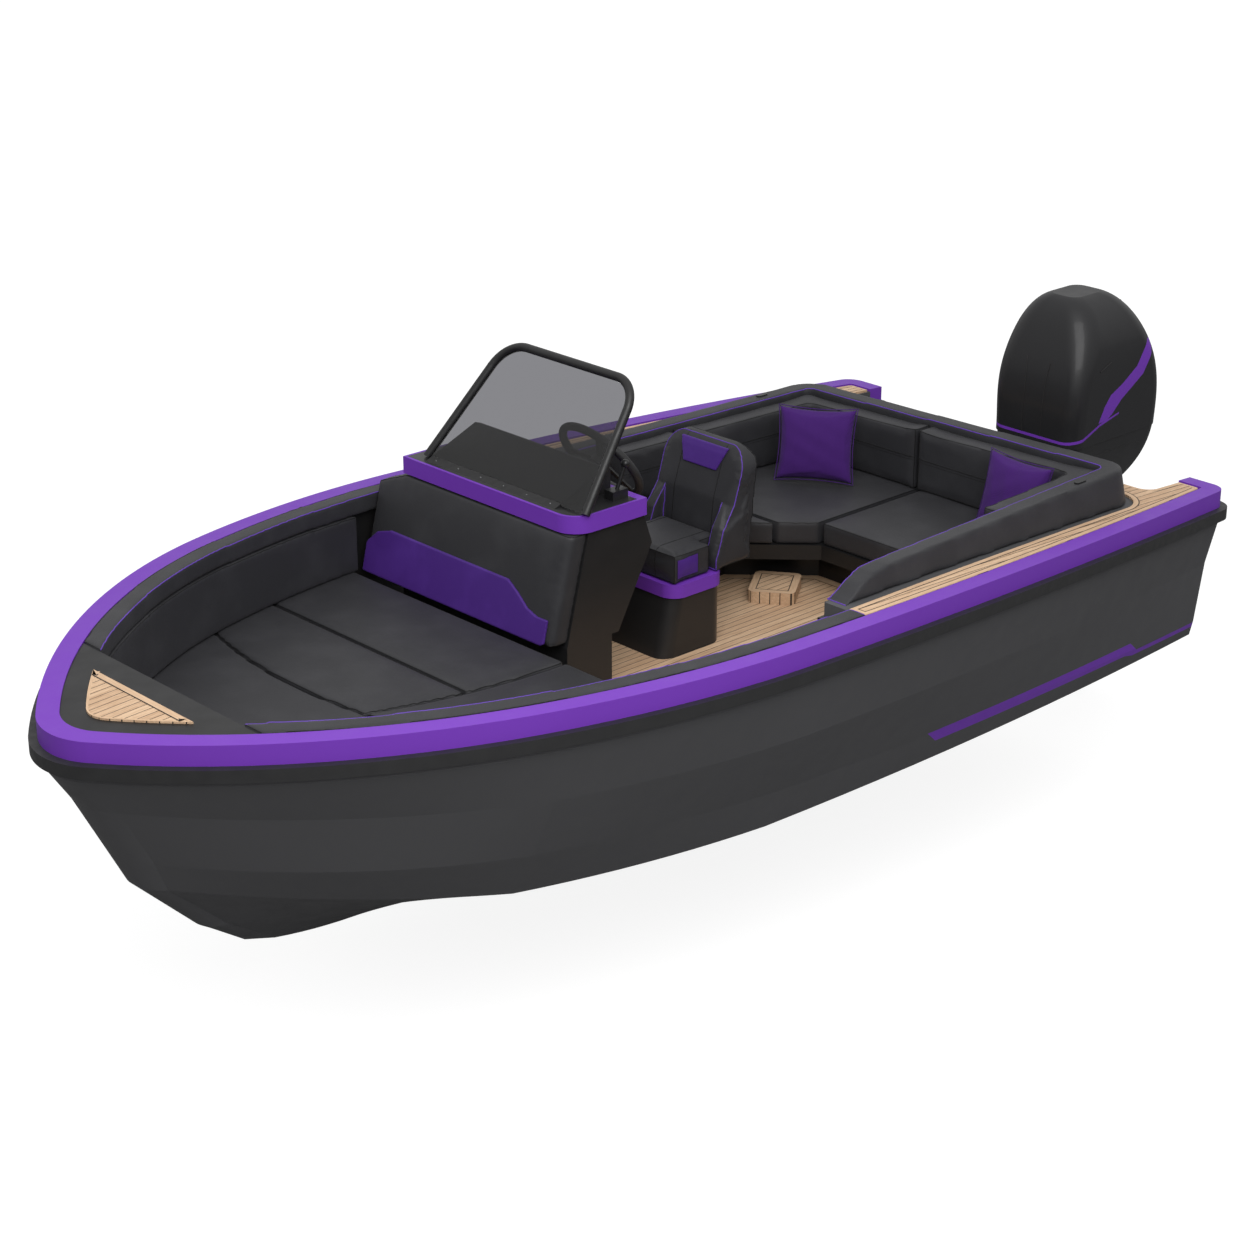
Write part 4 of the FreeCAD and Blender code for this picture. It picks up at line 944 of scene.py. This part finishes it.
def roundedPlate(name, centre, wide, high, corner, thick, material):
    # a plate with round corners and a softened rim, facing aft
    shape = bmesh.new()
    loops = []
    for inset, rise in ((0.0, 0.0), (0.0, thick * 0.6), (thick * 0.5, thick)):
        ring = []
        for cy, cz, start in ((1, 1, 0), (-1, 1, 90), (-1, -1, 180), (1, -1, 270)):
            for k in range(7):
                angle = math.radians(start + k * 15)
                r = max(corner - inset, 0.001)
                y = cy * (wide / 2 - corner) + r * math.cos(angle)
                z = cz * (high / 2 - corner) + r * math.sin(angle)
                ring.append(shape.verts.new((centre[0] - rise, centre[1] + y, centre[2] + z)))
        loops.append(ring)
    skin(shape, loops)
    shape.faces.new(loops[-1])
    bmesh.ops.recalc_face_normals(shape, faces=shape.faces)
    pieceFrom(shape, name, material)


dash = {
    # metres: width, height and corner of each plate, its thickness, and the gauges
    "bezel": (0.24, 0.1, 0.012, 0.006),
    "display": (0.215, 0.08, 0.006, 0.002),
    "gaugeSpread": 0.055,
    "gaugeRadius": 0.042,
    "level": 0.45,      # share of the hood's height
}


def dressDash():
    # a blank display and two gauges on the hood's aft face
    shape = weldedCopy("dash_hood")
    tree = BVHTree.FromBMesh(shape)
    shape.free()
    low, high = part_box("dash_hood")
    z = low[2] + (high[2] - low[2]) * dash["level"]

    def faceAt(y):
        hit = tree.ray_cast(Vector((low[0] - 0.5, y, z)), Vector((1, 0, 0)))[0]
        return None if hit is None else hit.x
    screenY = (low[1] * 2 + high[1]) / 3
    x = faceAt(screenY)
    if x is not None:
        roundedPlate("dash_display_bezel", (x, screenY, z), *dash["bezel"], finish["hood_plastic"])
        roundedPlate("dash_display", (x - 0.0055, screenY, z), *dash["display"], displayGlass)
    joints = {joint["name"]: joint for joint in frame["record"]["behaviour"]["joints"]}
    wheelY = joints["wheel_turn"]["pos_m"][1]
    for number, side in enumerate((-1, 1)):
        y = wheelY + side * dash["gaugeSpread"]
        x = faceAt(y)
        if x is not None:
            dialFace("dash_gauge_%d" % number, (x, y, z), dash["gaugeRadius"])


fixings = {
    # metres; each bracket bolt is (set back, height)
    "bracketBolts": ((0.0, 0.36), (0.0, 0.4), (0.05, 0.39)),
    "bracketX": -2.9, "bracketY": 0.0915,
    "hoodScrews": 6, "hoodScrewX": 0.165, "hoodScrewZ": 1.187, "hoodScrewInset": 0.05,
}


def dressHardware():
    for side in (1, -1):
        places = [(fixings["bracketX"] - back, side * fixings["bracketY"], z) for back, z in fixings["bracketBolts"]]
        bolts("bracket_bolts_%d" % (side + 1), places, (0, side, 0), 9 * mm, 8 * mm, stainless, "boat")
    low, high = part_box("dash_hood")
    inset, gaps = fixings["hoodScrewInset"], fixings["hoodScrews"] - 1
    pitch = (high[1] - low[1] - 2 * inset) / gaps
    screws = [(fixings["hoodScrewX"], low[1] + inset + k * pitch, fixings["hoodScrewZ"]) for k in range(gaps + 1)]
    bolts("hood_screws", screws, (0.25, 0, 0.97), 3.2 * mm, 2.5 * mm, stainless, "boat")


# Floor and light

def makeStudio():
    world = bpy.data.worlds.new("sky")
    bpy.context.scene.world = world
    world.use_nodes = True
    tree = world.node_tree
    tree.nodes.clear()
    height = addNode(tree, "SeparateXYZ", {"Vector": addNode(tree, "TexCoord").outputs["Generated"]}).outputs["Z"]
    strength = remap(tree, height, -0.2, 0.9, studio["skySide"], studio["skyTop"])
    light = addNode(tree, "Background", {"Color": (1, 1, 1, 1), "Strength": strength})
    white = addNode(tree, "Background", {"Color": (1, 1, 1, 1), "Strength": 1.0})
    seen = addNode(tree, "LightPath").outputs["Is Camera Ray"]
    mixed = addNode(tree, "MixShader", {0: seen, 1: light.outputs[0], 2: white.outputs[0]})
    output = addNode(tree, "OutputWorld")
    tree.links.new(mixed.outputs[0], output.inputs["Surface"])

    lamp = bpy.data.lights.new("key", "AREA")
    lamp.energy = studio["keyPower"]
    lamp.size = studio["keySize"]
    key = bpy.data.objects.new("key", lamp)
    key.location = studio["keyPlace"]
    key.rotation_euler = (Vector((-0.5, 0, 0)) - key.location).to_track_quat("-Z", "Y").to_euler()
    bpy.context.scene.collection.objects.link(key)

    mesh = bpy.data.meshes.new("floor")
    low = cadBox[0][2] - studio["floorDrop"]
    mesh.from_pydata([(-60, -60, low), (60, -60, low), (60, 60, low), (-60, 60, low)], [], [(0, 1, 2, 3)])
    floor = bpy.data.objects.new("floor", mesh)
    bpy.context.scene.collection.objects.link(floor)
    # the camera sees the floor near white with the boat's shadow on it; the boat is lit by a dimmer one
    material, tree, shader, place = newMaterial("studio_floor")
    shader.inputs["Base Color"].default_value = toLinear(studio["floorBounce"])
    shader.inputs["Roughness"].default_value = 0.9
    shadowed = addNode(tree, "BsdfDiffuse", {"Color": toLinear(studio["floorColour"])})
    glow = addNode(tree, "Emission", {"Color": (1, 1, 1, 1), "Strength": studio["floorGlow"]})
    bright = addNode(tree, "AddShader", {0: shadowed.outputs[0], 1: glow.outputs[0]})
    seen = addNode(tree, "LightPath").outputs["Is Camera Ray"]
    mixed = addNode(tree, "MixShader", {0: seen, 1: shader.outputs[0], 2: bright.outputs[0]})
    tree.links.new(mixed.outputs[0], tree.nodes["Material Output"].inputs["Surface"])
    mesh.materials.append(material)


makeCamera()
dressNodes()
print("materials done")
made = dressPads()
print("pads done")
makePillows()
print("pillows done")
dressTeak()
print("teak done")
dressCoamings()
dressLounges()
dressHelmSeat()
print("seams done")
dressMotor()
dressHardware()
dressDash()
print("motor and hardware done")
makeStudio()
print("studio done")
